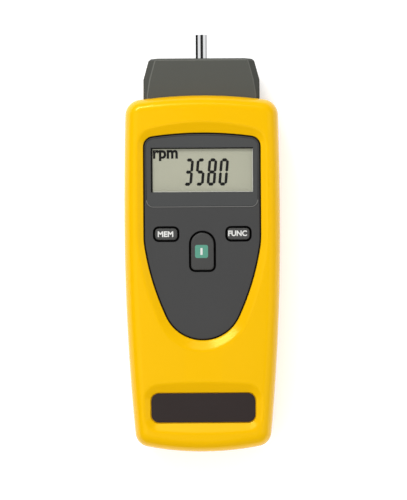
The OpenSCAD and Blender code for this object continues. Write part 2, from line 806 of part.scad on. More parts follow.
// Cells, head to tail, with a spring at each flat end
button_d = 5.5;
button_l = 1.5;
contact_low = y_bay_low + plate_contact_t;
contact_high = y_bay_high - plate_contact_t;
module cell() {
    cylinder(h = cell_l - button_l, d = cell_d);
    translate([0, 0, cell_l - button_l - bite]) cylinder(h = button_l + bite, d = button_d);
}

module left_cell() color([0.15, 0.16, 0.18])
    translate([-cell_x, contact_high - touch - cell_l, cell_z]) rotate([-90, 0, 0]) cell();
module right_cell() color([0.15, 0.16, 0.18])
    translate([cell_x, contact_low + touch + cell_l, cell_z]) rotate([90, 0, 0]) cell();

// A coil from its wide foot to its narrow end, as one swept wire
coil_turns = 3;
coil_steps = 14;
coil_sides = 6;
function coil_ring(step, foot_r, end_r, height) =
    let (share = step / (coil_turns * coil_steps), turn = 360 * step / coil_steps,
         r = foot_r + (end_r - foot_r) * share, z = spring_wire / 2 + (height - spring_wire) * share)
    [for (i = [0 : coil_sides - 1]) let (a = -360 * i / coil_sides, out = r + spring_wire / 2 * cos(a))
        [out * cos(turn), out * sin(turn), z + spring_wire / 2 * sin(a)]];
module coil(foot_r, end_r, height) {
    loft([for (step = [0 : coil_turns * coil_steps]) coil_ring(step, foot_r, end_r, height)]);
}

spring_foot_r = 4.4;
spring_end_r = 2.6;
module cell_springs() color(steel) {
    translate([-cell_x, contact_low + touch / 2, cell_z]) rotate([-90, 0, 0])
        coil(spring_foot_r, spring_end_r, spring_l - touch / 2);
    translate([cell_x, contact_high - touch / 2, cell_z]) rotate([90, 0, 0])
        coil(spring_foot_r, spring_end_r, spring_l - touch / 2);
}

contact_half_h = 5.5;
contact_side_gap = 1;
module cell_contacts() color(steel) {
    block([contact_side_gap - bay_half_w, y_bay_low, cell_z - contact_half_h],
          [bay_half_w - contact_side_gap, contact_low, cell_z + contact_half_h]);
    both_sides() block([cell_x - contact_half_h, contact_high, cell_z - contact_half_h],
                       [cell_x + contact_half_h, y_bay_high, cell_z + contact_half_h]);
}

// Battery cover: part of the back's own surface, with rails and a ribbed thumb grip
grip_ribs = 6;
grip_pitch = 2.4;
grip_depth = 0.5;
grip_half_w = 8;
grip_drop = 8;
y_grip = y_cover_high - grip_drop;
rail_short = 1;
module battery_cover() color(yellow) difference() {
    union() {
        intersection() {
            rear_solid();
            union() {
                block([-cover_half_w, -far, cover_inset_z], [cover_half_w, y_cover_high, z_cover_in]);
                block([-cover_half_w, -far, cover_inset_z], [cover_half_w, y_cover_lip, cover_lip_h]);
            }
        }
        block([-cover_half_w - rail_w, y_cover_lip + rail_short, z_cover_in - rail_t],
              [cover_half_w + rail_w, y_cover_high - rail_short, z_cover_in]);
    }
    for (i = [0 : grip_ribs - 1])
        block([-grip_half_w, y_grip - grip_pitch * i - grip_pitch / 2, -bite],
              [grip_half_w, y_grip - grip_pitch * i, cover_inset_z + grip_depth]);
}

// Contact adapter
adapter_gap = 0.3;
y_plug = y_socket + adapter_gap;
y_taper = y_adapter - adapter_taper_l;
adapter_round = 0.9;
nose_in = adapter_taper_in * (1 - adapter_round / adapter_taper_l);
end_plate_t = 1.5;
end_plate = [38, 14];
y_end_plate = y_plug + end_plate_t;
rotor_gap = 0.5;
chamber_d = rotor_d + 2 * rotor_gap;
bearing_in = 2.75;
bearings_apart = 6;
y_front_bearing = y_adapter - bearing_in - bearing_w;
y_rear_bearing = y_front_bearing - bearing_w - bearings_apart;
collar_step = 0.2;
collar_d = nose_d + 2 * collar_step;
nose_hole_d = collar_d + 2 * collar_step;
adapter_screw_x = 15.5;
adapter_screw_d = 1.9;
adapter_screw_head_d = 3.4;
adapter_screw_head_h = 1;
adapter_screw_l = 6;
adapter_slot = [2.4, 0.5, 0.5];

module adapter_housing() color(head_grey) on_axis() difference() {
    loft([
        flat_ring(adapter_section(plug_chamfer), y_plug),
        flat_ring(adapter_section(plug_chamfer), y_top),
        flat_ring(adapter_section(nose_chamfer), y_taper),
        flat_ring(adapter_section(nose_chamfer, nose_in), y_adapter - adapter_round),
        flat_ring(adapter_section(nose_chamfer, nose_in + adapter_round, adapter_round), y_adapter)
    ]);
    translate([-end_plate.x / 2 - seat_gap, -end_plate.y / 2 - seat_gap, y_plug - bite])
        cube([end_plate.x + 2 * seat_gap, end_plate.y + 2 * seat_gap, end_plate_t + bite]);
    translate([0, 0, y_plug]) cylinder(h = y_rear_bearing - y_plug, d = chamber_d);
    translate([0, 0, y_plug])
        cylinder(h = y_front_bearing + bearing_w - y_plug, d = bearing_d + 2 * ring_gap);
    translate([0, 0, y_plug]) cylinder(h = far, d = nose_hole_d);
    both_sides() translate([adapter_screw_x, 0, y_plug])
        cylinder(h = end_plate_t + adapter_screw_l, d = adapter_screw_d + seat_gap);
}

module adapter_end_plate() color(black) on_axis() translate([0, 0, y_plug]) difference() {
    translate([-end_plate.x / 2, -end_plate.y / 2, 0]) cube([end_plate.x, end_plate.y, end_plate_t]);
    both_sides() translate([beam_x, 0, -bite]) cylinder(h = end_plate_t + 2 * bite, d = beam_hole_d);
    both_sides() translate([adapter_screw_x, 0, 0]) {
        translate([0, 0, -bite])
            cylinder(h = bite + adapter_screw_head_h, d = adapter_screw_head_d + seat_gap);
        cylinder(h = end_plate_t + bite, d = adapter_screw_d + seat_gap);
    }
}

module adapter_screws() color(steel) on_axis() both_sides()
    translate([adapter_screw_x, 0, y_plug]) difference() {
        union() {
            cylinder(h = adapter_screw_head_h, d = adapter_screw_head_d);
            cylinder(h = end_plate_t + adapter_screw_l - bite, d = adapter_screw_d);
        }
        translate([-adapter_slot.x / 2, -adapter_slot.y / 2, -bite])
            cube([adapter_slot.x, adapter_slot.y, bite + adapter_slot.z]);
    }

// Ball bearings
ring_gap = 0.02;
ball_d = 2;
pitch_r = (spindle_d + bearing_d) / 4;
ring_land = 0.9;
balls = 8;
spacer_wall = 1;
module at_bearings() {
    for (y = [y_front_bearing, y_rear_bearing]) translate([0, 0, y]) children();
}

module ring(inner_r, outer_r) {
    rotate_extrude() difference() {
        translate([inner_r, 0]) square([outer_r - inner_r, bearing_w]);
        translate([pitch_r, bearing_w / 2]) circle(d = ball_d + 4 * ring_gap);
    }
}

module bearing_outer_rings() color(steel) on_axis() at_bearings()
    ring(pitch_r + ring_land, bearing_d / 2);
module bearing_inner_rings() color(steel) on_axis() at_bearings()
    ring(spindle_d / 2 + ring_gap, pitch_r - ring_land);
module bearing_balls() color(steel) on_axis() at_bearings()
    for (i = [0 : balls - 1]) rotate(360 * i / balls)
        translate([pitch_r, 0, bearing_w / 2]) sphere(d = ball_d);
module bearing_spacer() color(brass) on_axis()
    tube(y_rear_bearing + bearing_w, y_front_bearing, bearing_d, bearing_d - 2 * spacer_wall);

// Spindle with its nose, and the rotor on its inner end
neck_l = 0.25;
tip_chamfer = 0.4;
rotor_t = 1;
hub_d = 9;
hub_l = 3;
flag_t = 0.15;
clip_t = 0.6;
clip_rim = 1.5;
groove_depth = 0.5;
clip_d = spindle_d + 2 * clip_rim;
groove_d = spindle_d - 2 * groove_depth;
rotor_clear = 2;
y_rotor = y_end_plate + rotor_clear;
y_clip = y_rear_bearing - clip_t - touch;
module spindle() color([0.85, 0.85, 0.86]) on_axis() difference() {
    union() {
        translate([0, 0, y_rotor]) cylinder(h = y_adapter - y_rotor + neck_l, d = spindle_d);
        translate([0, 0, y_front_bearing + bearing_w + touch])
            cylinder(h = y_adapter - y_front_bearing - bearing_w - touch, d = collar_d);
        translate([0, 0, y_adapter + neck_l]) cylinder(h = nose_out - neck_l - tip_chamfer, d = nose_d);
        translate([0, 0, y_tip - tip_chamfer])
            cylinder(h = tip_chamfer, d1 = nose_d, d2 = nose_d - 2 * tip_chamfer);
    }
    tube(y_clip - touch, y_rear_bearing, spindle_d + bite, groove_d);
    translate([0, 0, y_rotor - bite])
        cylinder(h = rotor_screw_l + 2 * bite, d = rotor_screw_d + seat_gap);
}

module spindle_clip() color(steel) on_axis() difference() {
    tube(y_clip, y_clip + clip_t, clip_d, groove_d + 2 * ring_gap);
    translate([0, -groove_d / 2, y_clip - bite]) cube([far, groove_d, clip_t + 2 * bite]);
}

module rotor_disc() color(black) on_axis() difference() {
    union() {
        translate([0, 0, y_rotor]) cylinder(h = rotor_t, d = rotor_d);
        translate([0, 0, y_rotor]) cylinder(h = hub_l, d = hub_d);
    }
    translate([0, 0, y_rotor - bite]) cylinder(h = hub_l + 2 * bite, d = spindle_d + 2 * ring_gap);
}

flags = 4;
flag_turn = 45;
flag_in = 0.8;
flag_r = spindle_d / 2 + flag_in;
flag_rim = 0.4;
module rotor_flags() color([0.9, 0.9, 0.9]) on_axis() translate([0, 0, y_rotor - flag_t])
    for (i = [0 : flags - 1]) rotate(360 * i / flags) rotate_extrude(angle = flag_turn)
        translate([flag_r, 0]) square([rotor_d / 2 - flag_rim - flag_r, flag_t]);

rotor_screw_d = 1.6;
rotor_screw_l = 4;
rotor_screw_head_h = 0.9;
module rotor_screw() color(steel) on_axis() translate([0, 0, y_rotor - rotor_screw_head_h]) {
    cylinder(h = rotor_screw_head_h, d = spindle_d);
    cylinder(h = rotor_screw_head_h + rotor_screw_l, d = rotor_screw_d);
}

front_case();
rear_case();
front_panel();
display_window();
display_gasket();
display_glass();
display_frame();
contact_strips();
main_board();
board_components();
key_switches();
board_screws();
memory_key();
function_key();
start_key();
nameplate();
optics_block();
laser_barrel();
laser_diode();
laser_lens();
light_sensor();
sensor_lens();
optics_window();
left_cell();
right_cell();
cell_springs();
cell_contacts();
battery_cover();
case_screws();
adapter_housing();
adapter_end_plate();
adapter_screws();
bearing_outer_rings();
bearing_inner_rings();
bearing_balls();
bearing_spacer();
spindle();
spindle_clip();
rotor_disc();
rotor_flags();
rotor_screw();
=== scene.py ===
import math

import bpy
import numpy as np
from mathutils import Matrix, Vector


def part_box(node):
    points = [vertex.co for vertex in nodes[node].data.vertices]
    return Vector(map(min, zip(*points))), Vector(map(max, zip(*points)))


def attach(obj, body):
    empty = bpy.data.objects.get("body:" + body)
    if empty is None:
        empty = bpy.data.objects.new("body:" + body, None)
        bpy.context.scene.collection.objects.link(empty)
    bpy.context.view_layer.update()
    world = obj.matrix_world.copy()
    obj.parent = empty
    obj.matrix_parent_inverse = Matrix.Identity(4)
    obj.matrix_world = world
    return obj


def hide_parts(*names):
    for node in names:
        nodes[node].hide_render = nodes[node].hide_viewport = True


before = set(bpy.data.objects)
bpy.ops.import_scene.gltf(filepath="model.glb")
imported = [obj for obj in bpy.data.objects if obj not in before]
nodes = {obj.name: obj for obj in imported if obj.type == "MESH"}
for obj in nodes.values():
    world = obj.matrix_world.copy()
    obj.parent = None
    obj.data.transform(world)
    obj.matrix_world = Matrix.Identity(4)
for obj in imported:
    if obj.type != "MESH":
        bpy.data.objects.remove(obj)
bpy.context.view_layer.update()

# Front half of the case: one yellow ABS moulding with a crowned face, a sunk seat with sloping walls for
# the panel and another for the plate, and a socket in its top end. It comes out of the mould with rounded
# edges and a fine spark-eroded grain, and four screws from behind pull it onto the rear half.
MM = 0.001
case_low, case_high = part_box("rear_case")
panel_low, panel_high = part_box("front_panel")
plate_low, plate_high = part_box("nameplate")
case_half_w = case_high.x
case_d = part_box("front_case")[1].z
parting_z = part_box("front_case")[0].z
case_bottom_y = case_low.y
case_l = 136.5 * MM
case_top_y = case_bottom_y + case_l
crown = 1.2 * MM
draft = 0.2 * MM
front_edge_w = 5.0 * MM
front_edge_h = 6.0 * MM
wall = 2.0 * MM
top_r = 186 * MM
bottom_r = 116 * MM
top_corner_r = 6.4 * MM
bottom_corner_r = 5.8 * MM
side_low_r = 860 * MM
side_high_r = 1480 * MM
bulge_y = case_bottom_y + 0.644 * case_l
panel_gap = 0.4 * MM
ledge_w = 1.3 * MM
rim = 0.2 * MM
slope_run = 2.0


def crossing(a, ra, b, rb):
    """Where two circles cross, on the right: along the line of centres, then square to it."""
    across = b - a
    d = np.hypot(*across)
    u = across / d
    t = (d * d + ra * ra - rb * rb) / (2 * d)
    side = math.sqrt(ra * ra - t * t) * np.array([u[1], -u[0]])
    return max(a + u * t + side, a + u * t - side, key=lambda p: p[0])


def bearing(a, b):
    """Angle of the line from a to b, in radians."""
    return math.atan2(b[1] - a[1], b[0] - a[0])


def ring_of(arcs):
    """Centre, radius and angle of each point round a closed outline: the arcs of its right half from
    bottom to top, then their mirror images from top to bottom, with the points on the middle line once."""
    centres = np.concatenate([np.tile(c, (len(a), 1)) for c, r, a in arcs])
    radii = np.concatenate([np.full(len(a), r) for c, r, a in arcs])
    angles = np.concatenate([a for c, r, a in arcs])
    off_line = np.abs(centres[:, 0] + radii * np.cos(angles)) > 1e-7
    back = np.flatnonzero(off_line)[::-1]
    return (np.concatenate([centres, centres[back] * [-1, 1]]), np.concatenate([radii, radii[back]]),
            np.concatenate([angles, math.pi - angles[back]]))


def grown(ring, by):
    """The outline moved out by a distance: each point slides along its own radius."""
    centres, radii, angles = ring
    by = np.broadcast_to(by, radii.shape)
    return centres + (radii + by)[:, None] * np.stack([np.cos(angles), np.sin(angles)], 1)


def swept(first, last, count, closed_start=True, bend=1.0):
    """Angles from first to last, evenly spaced, or crowded to the start where bend is over 1."""
    t = np.linspace(0, 1, count) ** bend
    return (first + (last - first) * t)[0 if closed_start else 1:]


bottom_c = np.array([0, case_bottom_y + bottom_r])
top_c = np.array([0, case_top_y - top_r])
side_low_c = np.array([case_half_w - side_low_r, bulge_y])
side_high_c = np.array([case_half_w - side_high_r, bulge_y])
low_corner = crossing(bottom_c, bottom_r - bottom_corner_r, side_low_c, side_low_r - bottom_corner_r)
high_corner = crossing(top_c, top_r - top_corner_r, side_high_c, side_high_r - top_corner_r)
low_turn, high_turn = bearing(bottom_c, low_corner), bearing(top_c, high_corner)
low_side, high_side = bearing(side_low_c, low_corner), bearing(side_high_c, high_corner)
# Each arc, from bottom to top: its centre, its radius and the angles of its points
case_ring = ring_of([
    (bottom_c, bottom_r, swept(-math.pi / 2, low_turn, 56)),
    (low_corner, bottom_corner_r, swept(low_turn, low_side, 18, False)),
    (side_low_c, side_low_r, swept(low_side, 0, 96, False, bend=1.25)),
    (side_high_c, side_high_r, swept(0, high_side, 36, False)),
    (high_corner, top_corner_r, swept(high_side, high_turn, 18, False)),
    (top_c, top_r, swept(high_turn, math.pi / 2, 46, False)),
])

panel_half_w = panel_high.x
panel_top_r = 136 * MM
panel_corner_r = 3.6 * MM
panel_bottom_r = 15 * MM
panel_knee_r = 28 * MM
bottom_turn = math.radians(65)
flank_turn = math.radians(81)
flank_r = ((panel_half_w - panel_bottom_r * math.sin(bottom_turn)
            - panel_knee_r * (1 - math.sin(flank_turn)))
           / (math.sin(flank_turn) - math.sin(bottom_turn)))
panel_top_turn = math.asin((panel_half_w - panel_corner_r) / (panel_top_r - panel_corner_r))
toward = lambda turn: np.array([math.sin(turn), -math.cos(turn)])
panel_bottom_c = np.array([0, panel_low.y + panel_bottom_r])
flank_c = panel_bottom_c + (panel_bottom_r - flank_r) * toward(bottom_turn)
knee_c = flank_c + (flank_r - panel_knee_r) * toward(flank_turn)
panel_top_c = np.array([0, panel_high.y - panel_top_r])
panel_corner_c = panel_top_c + (panel_top_r - panel_corner_r) * np.array(
    [math.sin(panel_top_turn), math.cos(panel_top_turn)])
panel_ring = ring_of([
    (panel_bottom_c, panel_bottom_r, swept(-math.pi / 2, bottom_turn - math.pi / 2, 20)),
    (flank_c, flank_r, swept(bottom_turn - math.pi / 2, flank_turn - math.pi / 2, 16, False)),
    (knee_c, panel_knee_r, swept(flank_turn - math.pi / 2, 0, 6, False)),
    (panel_corner_c, panel_corner_r, swept(0, math.pi / 2 - panel_top_turn, 14)),
    (panel_top_c, panel_top_r, swept(math.pi / 2 - panel_top_turn, math.pi / 2, 14, False)),
])
plate_corner_r = 2.8 * MM
plate_corner = np.array([plate_high.x - plate_corner_r, plate_low.y + plate_corner_r])
plate_ring = ring_of([
    (plate_corner, plate_corner_r, swept(-math.pi / 2, 0, 10)),
    (plate_corner + [0, plate_high.y - plate_low.y - 2 * plate_corner_r], plate_corner_r,
     swept(0, math.pi / 2, 10)),
])


def outside(points, loop):
    """Distance of each point from a closed convex loop, negative inside: the least over its edges of the
    distance to the nearest point of the edge, signed by which side of every edge the point is on."""
    a = loop.astype(np.float32)
    edge = np.roll(a, -1, 0) - a
    to_point = points.astype(np.float32)[:, None] - a
    along = np.clip((to_point * edge).sum(2) / (edge * edge).sum(1), 0, 1)
    away = np.hypot(*np.moveaxis(to_point - along[..., None] * edge, 2, 0)).min(1)
    left = edge[:, 0] * to_point[..., 1] - edge[:, 1] * to_point[..., 0]
    return np.where((left > 0).all(1), -away, away).astype(float)


def blended_low(a, b, round_by):
    """The lower of two heights, with the crease between them rounded over a height of round_by."""
    share = np.clip(0.5 + 0.5 * (b - a) / round_by, 0, 1)
    return b + (a - b) * share - round_by * share * (1 - share)


z_panel = panel_high.z
crease = 0.3 * MM
plate_floor_z = plate_low.z


def crown_z(x):
    """The front's height: highest on the middle line, falling with the square of the distance from it."""
    return case_d - crown * (x / case_half_w) ** 2


def face_z(xy, base):
    """Height of the face at each point: the crown or rounded edge, cut down by the two sloping recesses.
    A recess is a cone of the distance from its outline, and the plate's stops half-way down its pocket."""
    slope = lambda d: z_panel + rim + (d - panel_gap) / slope_run
    panel_slope = slope(outside(xy, grown(panel_ring, 0)))
    plate_slope = np.maximum(slope(outside(xy, grown(plate_ring, 0))), (z_panel + plate_floor_z) / 2)
    return blended_low(blended_low(base, panel_slope, crease), plate_slope, crease)


loop_marks = 6000


def reach(loop, centre, angles):
    """How far a convex loop is from a centre inside it, along each of the given angles, found on many
    points laid along the loop's edges."""
    closed = np.vstack([loop, loop[:1]])
    length = np.r_[0, np.cumsum(np.hypot(*np.diff(closed, axis=0).T))]
    marks = np.linspace(0, length[-1], loop_marks)[:-1]
    away = np.stack([np.interp(marks, length, closed[:, k]) for k in (0, 1)], 1) - centre
    turn = np.arctan2(away[:, 1], away[:, 0])
    order = np.argsort(turn)
    return np.interp(angles, turn[order], np.hypot(*away[order].T), period=2 * math.pi)


sharp_turn = math.radians(40)


def mesh_object(name, verts, faces):
    """A mesh object at the origin, shaded smooth, with edges that turn by more than an angle kept sharp."""
    mesh = bpy.data.meshes.new(name)
    mesh.from_pydata(np.asarray(verts).tolist(), [], [list(face) for face in faces])
    mesh.validate()
    mesh.shade_smooth()
    mesh.set_sharp_from_angle(angle=sharp_turn)
    piece = bpy.data.objects.new(name, mesh)
    bpy.context.scene.collection.objects.link(piece)
    return piece


def grid_faces(rows, columns, wrap_rows=False, wrap_columns=True):
    """Quads between neighbouring rows and columns of a grid of points, joined end to end where wrapped."""
    i = np.arange(rows if wrap_rows else rows - 1)[:, None]
    j = np.arange(columns if wrap_columns else columns - 1)[None, :]
    near, far = i * columns, (i + 1) % rows * columns
    right = (j + 1) % columns
    return np.stack(np.broadcast_arrays(near + j, near + right, far + right, far + j), -1).reshape(-1, 4)


socket_floor_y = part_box("optics_window")[1].y
inside_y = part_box("optics_block")[1].y
ceiling_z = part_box("display_frame")[1].z
seat_z = panel_low.z
heart = np.array([0, -12 * MM])
face_steps = 88
edge_steps = 14
rim_round = 0.1 * MM
parting_bevel = 0.25 * MM
roof_step = 2 * MM


def front_shell():
    """Rings of the moulding, each a loop round the panel's opening: up the opening's edge, over its ledge
    and wall, out across the face along straight lines from the heart, round the edge, down the skirt,
    in over the parting face, up inside and back under the face to the opening."""
    edge_top = grown(case_ring, -draft - front_edge_w)
    lines = np.arctan2(*(edge_top - heart).T[::-1])
    spokes = np.stack([np.cos(lines), np.sin(lines)], 1)
    opening = lambda by: heart + reach(grown(panel_ring, by), heart, lines)[:, None] * spokes
    level = lambda xy, z: np.column_stack([xy, np.full(len(xy), z)])
    wall_foot = opening(panel_gap)
    slope_foot = opening(panel_gap + rim_round)
    rings = [level(opening(-ledge_w), ceiling_z), level(opening(-ledge_w), seat_z),
             level(wall_foot, seat_z), level(wall_foot, z_panel + rim - rim_round)]
    for t in np.linspace(0, 1, face_steps):
        xy = slope_foot + (edge_top - slope_foot) * t
        rings.append(np.column_stack([xy, face_z(xy, crown_z(xy[:, 0]))]))
    for turn in np.linspace(math.pi / 2, 0, edge_steps)[1:]:
        xy = grown(case_ring, -draft - front_edge_w * (1 - math.cos(turn)))
        base = crown_z(xy[:, 0]) - front_edge_h * (1 - math.sin(turn))
        rings.append(np.column_stack([xy, face_z(xy, base)]))
    inner = grown(case_ring, -wall)
    inner[:, 1] = np.minimum(inner[:, 1], inside_y)
    deep = grown(case_ring, -wall - roof_step)
    deep[:, 1] = np.minimum(deep[:, 1], inside_y)
    rings += [level(grown(case_ring, -draft / 10), parting_z + parting_bevel),
              level(grown(case_ring, -parting_bevel), parting_z), level(inner, parting_z),
              level(inner, ceiling_z - roof_step), level(deep, ceiling_z)]
    return np.concatenate(rings), grid_faces(len(rings), len(lines), wrap_rows=True)


def capped(loops):
    """A closed skin over a stack of loops with equal counts: quads between neighbouring loops, and a flat
    cap at each end. Loops that run counter-clockwise seen from the last one give faces that point
    outwards."""
    count = loops.shape[1]
    ends = np.array([np.arange(count)[::-1], (len(loops) - 1) * count + np.arange(count)])
    return loops.reshape(-1, 3), grid_faces(len(loops), count).tolist() + ends.tolist()


def prism(section, y0, y1):
    """A closed bar along Y from a loop of x and z points."""
    level = lambda y: np.column_stack([section[:, 0], np.full(len(section), y), section[:, 1]])
    return capped(np.stack([level(y1), level(y0)]))


def pocket(loop, z0, z1):
    """A closed block between two heights from a level loop of x and y points."""
    level = lambda z: np.column_stack([loop, np.full(len(loop), z)])
    return capped(np.stack([level(z0), level(z1)]))


def gathered(solids):
    """Several closed solids as one mesh: their points in turn, each solid's faces counted on from the
    last."""
    starts = np.cumsum([0] + [len(verts) for verts, faces in solids])
    counted_on = [(np.array(face) + start).tolist()
                  for (verts, faces), start in zip(solids, starts) for face in faces]
    return np.concatenate([verts for verts, faces in solids]), counted_on


adapter_low, adapter_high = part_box("adapter_housing")
light_pane_low, light_pane_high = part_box("optics_window")
slide_gap = 0.15 * MM
axis_z = (adapter_low.z + adapter_high.z) / 2
plug_half_w = adapter_high.x + slide_gap
plug_half_d = adapter_high.z - axis_z + slide_gap
plug_chamfer = 1.8 * MM
eighth = np.array([[1, 1], [1, 1], [-1, 1], [-1, 1], [-1, -1], [-1, -1], [1, -1], [1, -1]], float)
cut_back = np.array([[0, 1], [1, 0], [1, 0], [0, 1], [0, 1], [1, 0], [1, 0], [0, 1]]) * plug_chamfer
plug_section = eighth * (np.array([plug_half_w, plug_half_d]) - cut_back) + [0, axis_z]
pane_gap = 0.1 * MM
pane = np.array([[1, 1], [-1, 1], [-1, -1], [1, -1]], float) * [
    light_pane_high.x + pane_gap, (light_pane_high.z - light_pane_low.z) / 2 + pane_gap] + [0, axis_z]
beam_x = (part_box("laser_barrel")[0].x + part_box("laser_barrel")[1].x) / 2
beam_hole_r = 3 * MM
beam_sides = 32
turns = np.linspace(0, 2 * math.pi, beam_sides + 1)[:-1]
beam = np.stack([np.cos(turns), np.sin(turns)], 1) * beam_hole_r + [0, axis_z]


def cut_out(piece, solids):
    """Takes closed solids out of a piece and keeps the result as its mesh."""
    verts, faces = gathered(solids)
    cutter = bpy.data.objects.new("cutter", bpy.data.meshes.new("cutter"))
    cutter.data.from_pydata(verts.tolist(), [], faces)
    bpy.context.scene.collection.objects.link(cutter)
    cut = piece.modifiers.new("socket", "BOOLEAN")
    cut.operation = "DIFFERENCE"
    cut.solver = "EXACT"
    cut.use_self = True
    cut.object = cutter
    deps = bpy.context.evaluated_depsgraph_get()
    result = bpy.data.meshes.new_from_object(piece.evaluated_get(deps))
    piece.modifiers.clear()
    piece.data = result
    bpy.data.objects.remove(cutter)
    result.shade_smooth()
    result.set_sharp_from_angle(angle=sharp_turn)


front_case = mesh_object("front_case_moulding", *front_shell())
past_top, past = 10 * MM, 1 * MM
cut_out(front_case, [
    prism(plug_section, socket_floor_y, case_top_y + past_top),
    prism(pane, light_pane_low.y, socket_floor_y + past),
    prism(beam + [beam_x, 0], inside_y - past, socket_floor_y),
    prism(beam - [beam_x, 0], inside_y - past, socket_floor_y),
    pocket(grown(plate_ring, panel_gap), plate_floor_z, case_d),
])


def srgb(red, green, blue):
    """A colour given in screen values from 0 to 255, as linear light with full alpha."""
    c = np.array([red, green, blue]) / 255
    linear = np.where(c <= 0.04045, c / 12.92, ((c + 0.055) / 1.055) ** 2.4)
    return (*linear, 1)


mottle_scale = 60
gloss_spread = 0.15


def finish_for(name, colour, roughness, grain=0.0004, depth=0.1, mottle=0.04, metallic=0.0, **sockets):
    """A moulded, painted or turned finish: a fine grain of bump and roughness with a faint mottling of the
    colour, both from noise in the piece's own coordinates. The roughness spreads to both sides by a share,
    and the bump is a quarter as high as the grain is wide. Further sockets are set by name."""
    material = bpy.data.materials.new(name)
    material.use_nodes = True
    tree = material.node_tree
    shader = tree.nodes["Principled BSDF"]
    place = tree.nodes.new("ShaderNodeTexCoord")
    fine = tree.nodes.new("ShaderNodeTexNoise")
    fine.inputs["Scale"].default_value = 1 / grain
    fine.inputs["Detail"].default_value = 2
    broad = tree.nodes.new("ShaderNodeTexNoise")
    broad.inputs["Scale"].default_value = mottle_scale
    broad.inputs["Detail"].default_value = 3
    for noise in (fine, broad):
        tree.links.new(place.outputs["Object"], noise.inputs["Vector"])
    tint = tree.nodes.new("ShaderNodeMix")
    tint.data_type = "RGBA"
    tint.inputs["A"].default_value = tuple(v * (1 - mottle) for v in colour[:3]) + (1,)
    tint.inputs["B"].default_value = tuple(min(1, v * (1 + mottle)) for v in colour[:3]) + (1,)
    tree.links.new(broad.outputs["Fac"], tint.inputs["Factor"])
    tree.links.new(tint.outputs["Result"], shader.inputs["Base Color"])
    gloss = tree.nodes.new("ShaderNodeMapRange")
    gloss.inputs["To Min"].default_value = roughness * (1 - gloss_spread)
    gloss.inputs["To Max"].default_value = min(1, roughness * (1 + gloss_spread))
    tree.links.new(fine.outputs["Fac"], gloss.inputs["Value"])
    tree.links.new(gloss.outputs["Result"], shader.inputs["Roughness"])
    bump = tree.nodes.new("ShaderNodeBump")
    bump.inputs["Strength"].default_value = depth
    bump.inputs["Distance"].default_value = grain / 4
    tree.links.new(fine.outputs["Fac"], bump.inputs["Height"])
    tree.links.new(bump.outputs["Normal"], shader.inputs["Normal"])
    shader.inputs["Metallic"].default_value = metallic
    for socket, value in sockets.items():
        shader.inputs[socket.replace("_", " ")].default_value = value
    return material


def dress(material, *pieces):
    """Gives pieces one material, in place of any that they have."""
    for piece in pieces:
        piece.data.materials.clear()
        piece.data.materials.append(material)


yellow_abs = finish_for("yellow_moulded_abs", srgb(248, 191, 0), 0.2, depth=0.02, mottle=0.02,
                       Specular_IOR_Level=0.55, Specular_Tint=srgb(255, 232, 130))
dress(yellow_abs, front_case)
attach(front_case, "case")
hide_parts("front_case")

# Rear half of the case and the sliding battery cover: the same yellow ABS. The cover runs on two rails in
# grooves of the back, and its end lip carries on the curve of the case.
join_within = 1e-6


def eased(width, *pieces, angle=30):
    """Joins a CAD piece's loose triangles, rounds its edges and keeps its flats flat, by live modifiers."""
    for piece in pieces:
        weld = piece.modifiers.new("join", "WELD")
        weld.merge_threshold = join_within
        ease = piece.modifiers.new("ease", "BEVEL")
        ease.width = width
        ease.segments = 2
        ease.limit_method = "ANGLE"
        ease.angle_limit = math.radians(angle)
        ease.harden_normals = False
        piece.modifiers.new("flats", "WEIGHTED_NORMAL").keep_sharp = True
        piece.data.shade_smooth()


dress(yellow_abs, nodes["rear_case"], nodes["battery_cover"])
eased(0.2 * MM, nodes["rear_case"], nodes["battery_cover"])

# Front panel: a charcoal ABS moulding that drops into the sunk seat and is glued to its ledge. It has a
# pocket for the window, the display's aperture and a hole for each key. A black bead fills the gap round it
# and laps onto its chamfered edge: painted shade, standing in for the shadow in that gap.
charcoal_abs = finish_for("charcoal_moulded_abs", srgb(70, 70, 70), 0.55, grain=0.0003, depth=0.15,
                           Specular_IOR_Level=0.2)
dress(charcoal_abs, nodes["front_panel"], nodes["display_frame"])
eased(0.12 * MM, nodes["front_panel"], nodes["display_frame"])
# Places round the bead's section: how far out from the panel's outline, and how far under its face
bead_section = np.array([[0.02, 2.0], [0.38, 2.0], [0.38, 0.4], [0.33, 0.22], [0.2, 0.1], [0.02, 0.06],
                         [-0.12, 0.07], [-0.2, 0.13], [-0.02, 0.36]]) * MM


def bead(ring, section, top):
    """A closed section carried round an outline: each of its places is the outline grown by its distance
    out, at its depth under the top."""
    rounds = np.stack([np.column_stack([grown(ring, out), np.full(len(ring[1]), top - under)])
                       for out, under in section])
    return rounds.reshape(-1, 3), grid_faces(len(section), len(ring[1]), wrap_rows=True)


# Painted shade: a black bead laid in the gap round the panel, where shadow falls
panel_gap_shade = mesh_object("panel_gap_shade", *bead(panel_ring, bead_section, z_panel))
gap_shade_finish = finish_for("painted_gap_shade", srgb(20, 19, 18), 0.7, grain=0.0005, depth=0.2,
                     Specular_IOR_Level=0.1)
dress(gap_shade_finish, panel_gap_shade)
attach(panel_gap_shade, "case")

# Window: clear acrylic, cut to the shape of the panel's top and stuck into its pocket. It is printed grey
# round the display, and a pale line along its lower edge is a painted highlight.
clear_acrylic = finish_for("clear_acrylic", srgb(120, 122, 120), 0.08, depth=0.0, mottle=0.0, Alpha=0.03,
                           Specular_IOR_Level=0.25)
dress(clear_acrylic, nodes["display_window"])
window_low, window_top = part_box("display_window")
window_corner_r = 2.7 * MM
edge_line_w = 0.3 * MM
edge_line_t = 0.02 * MM


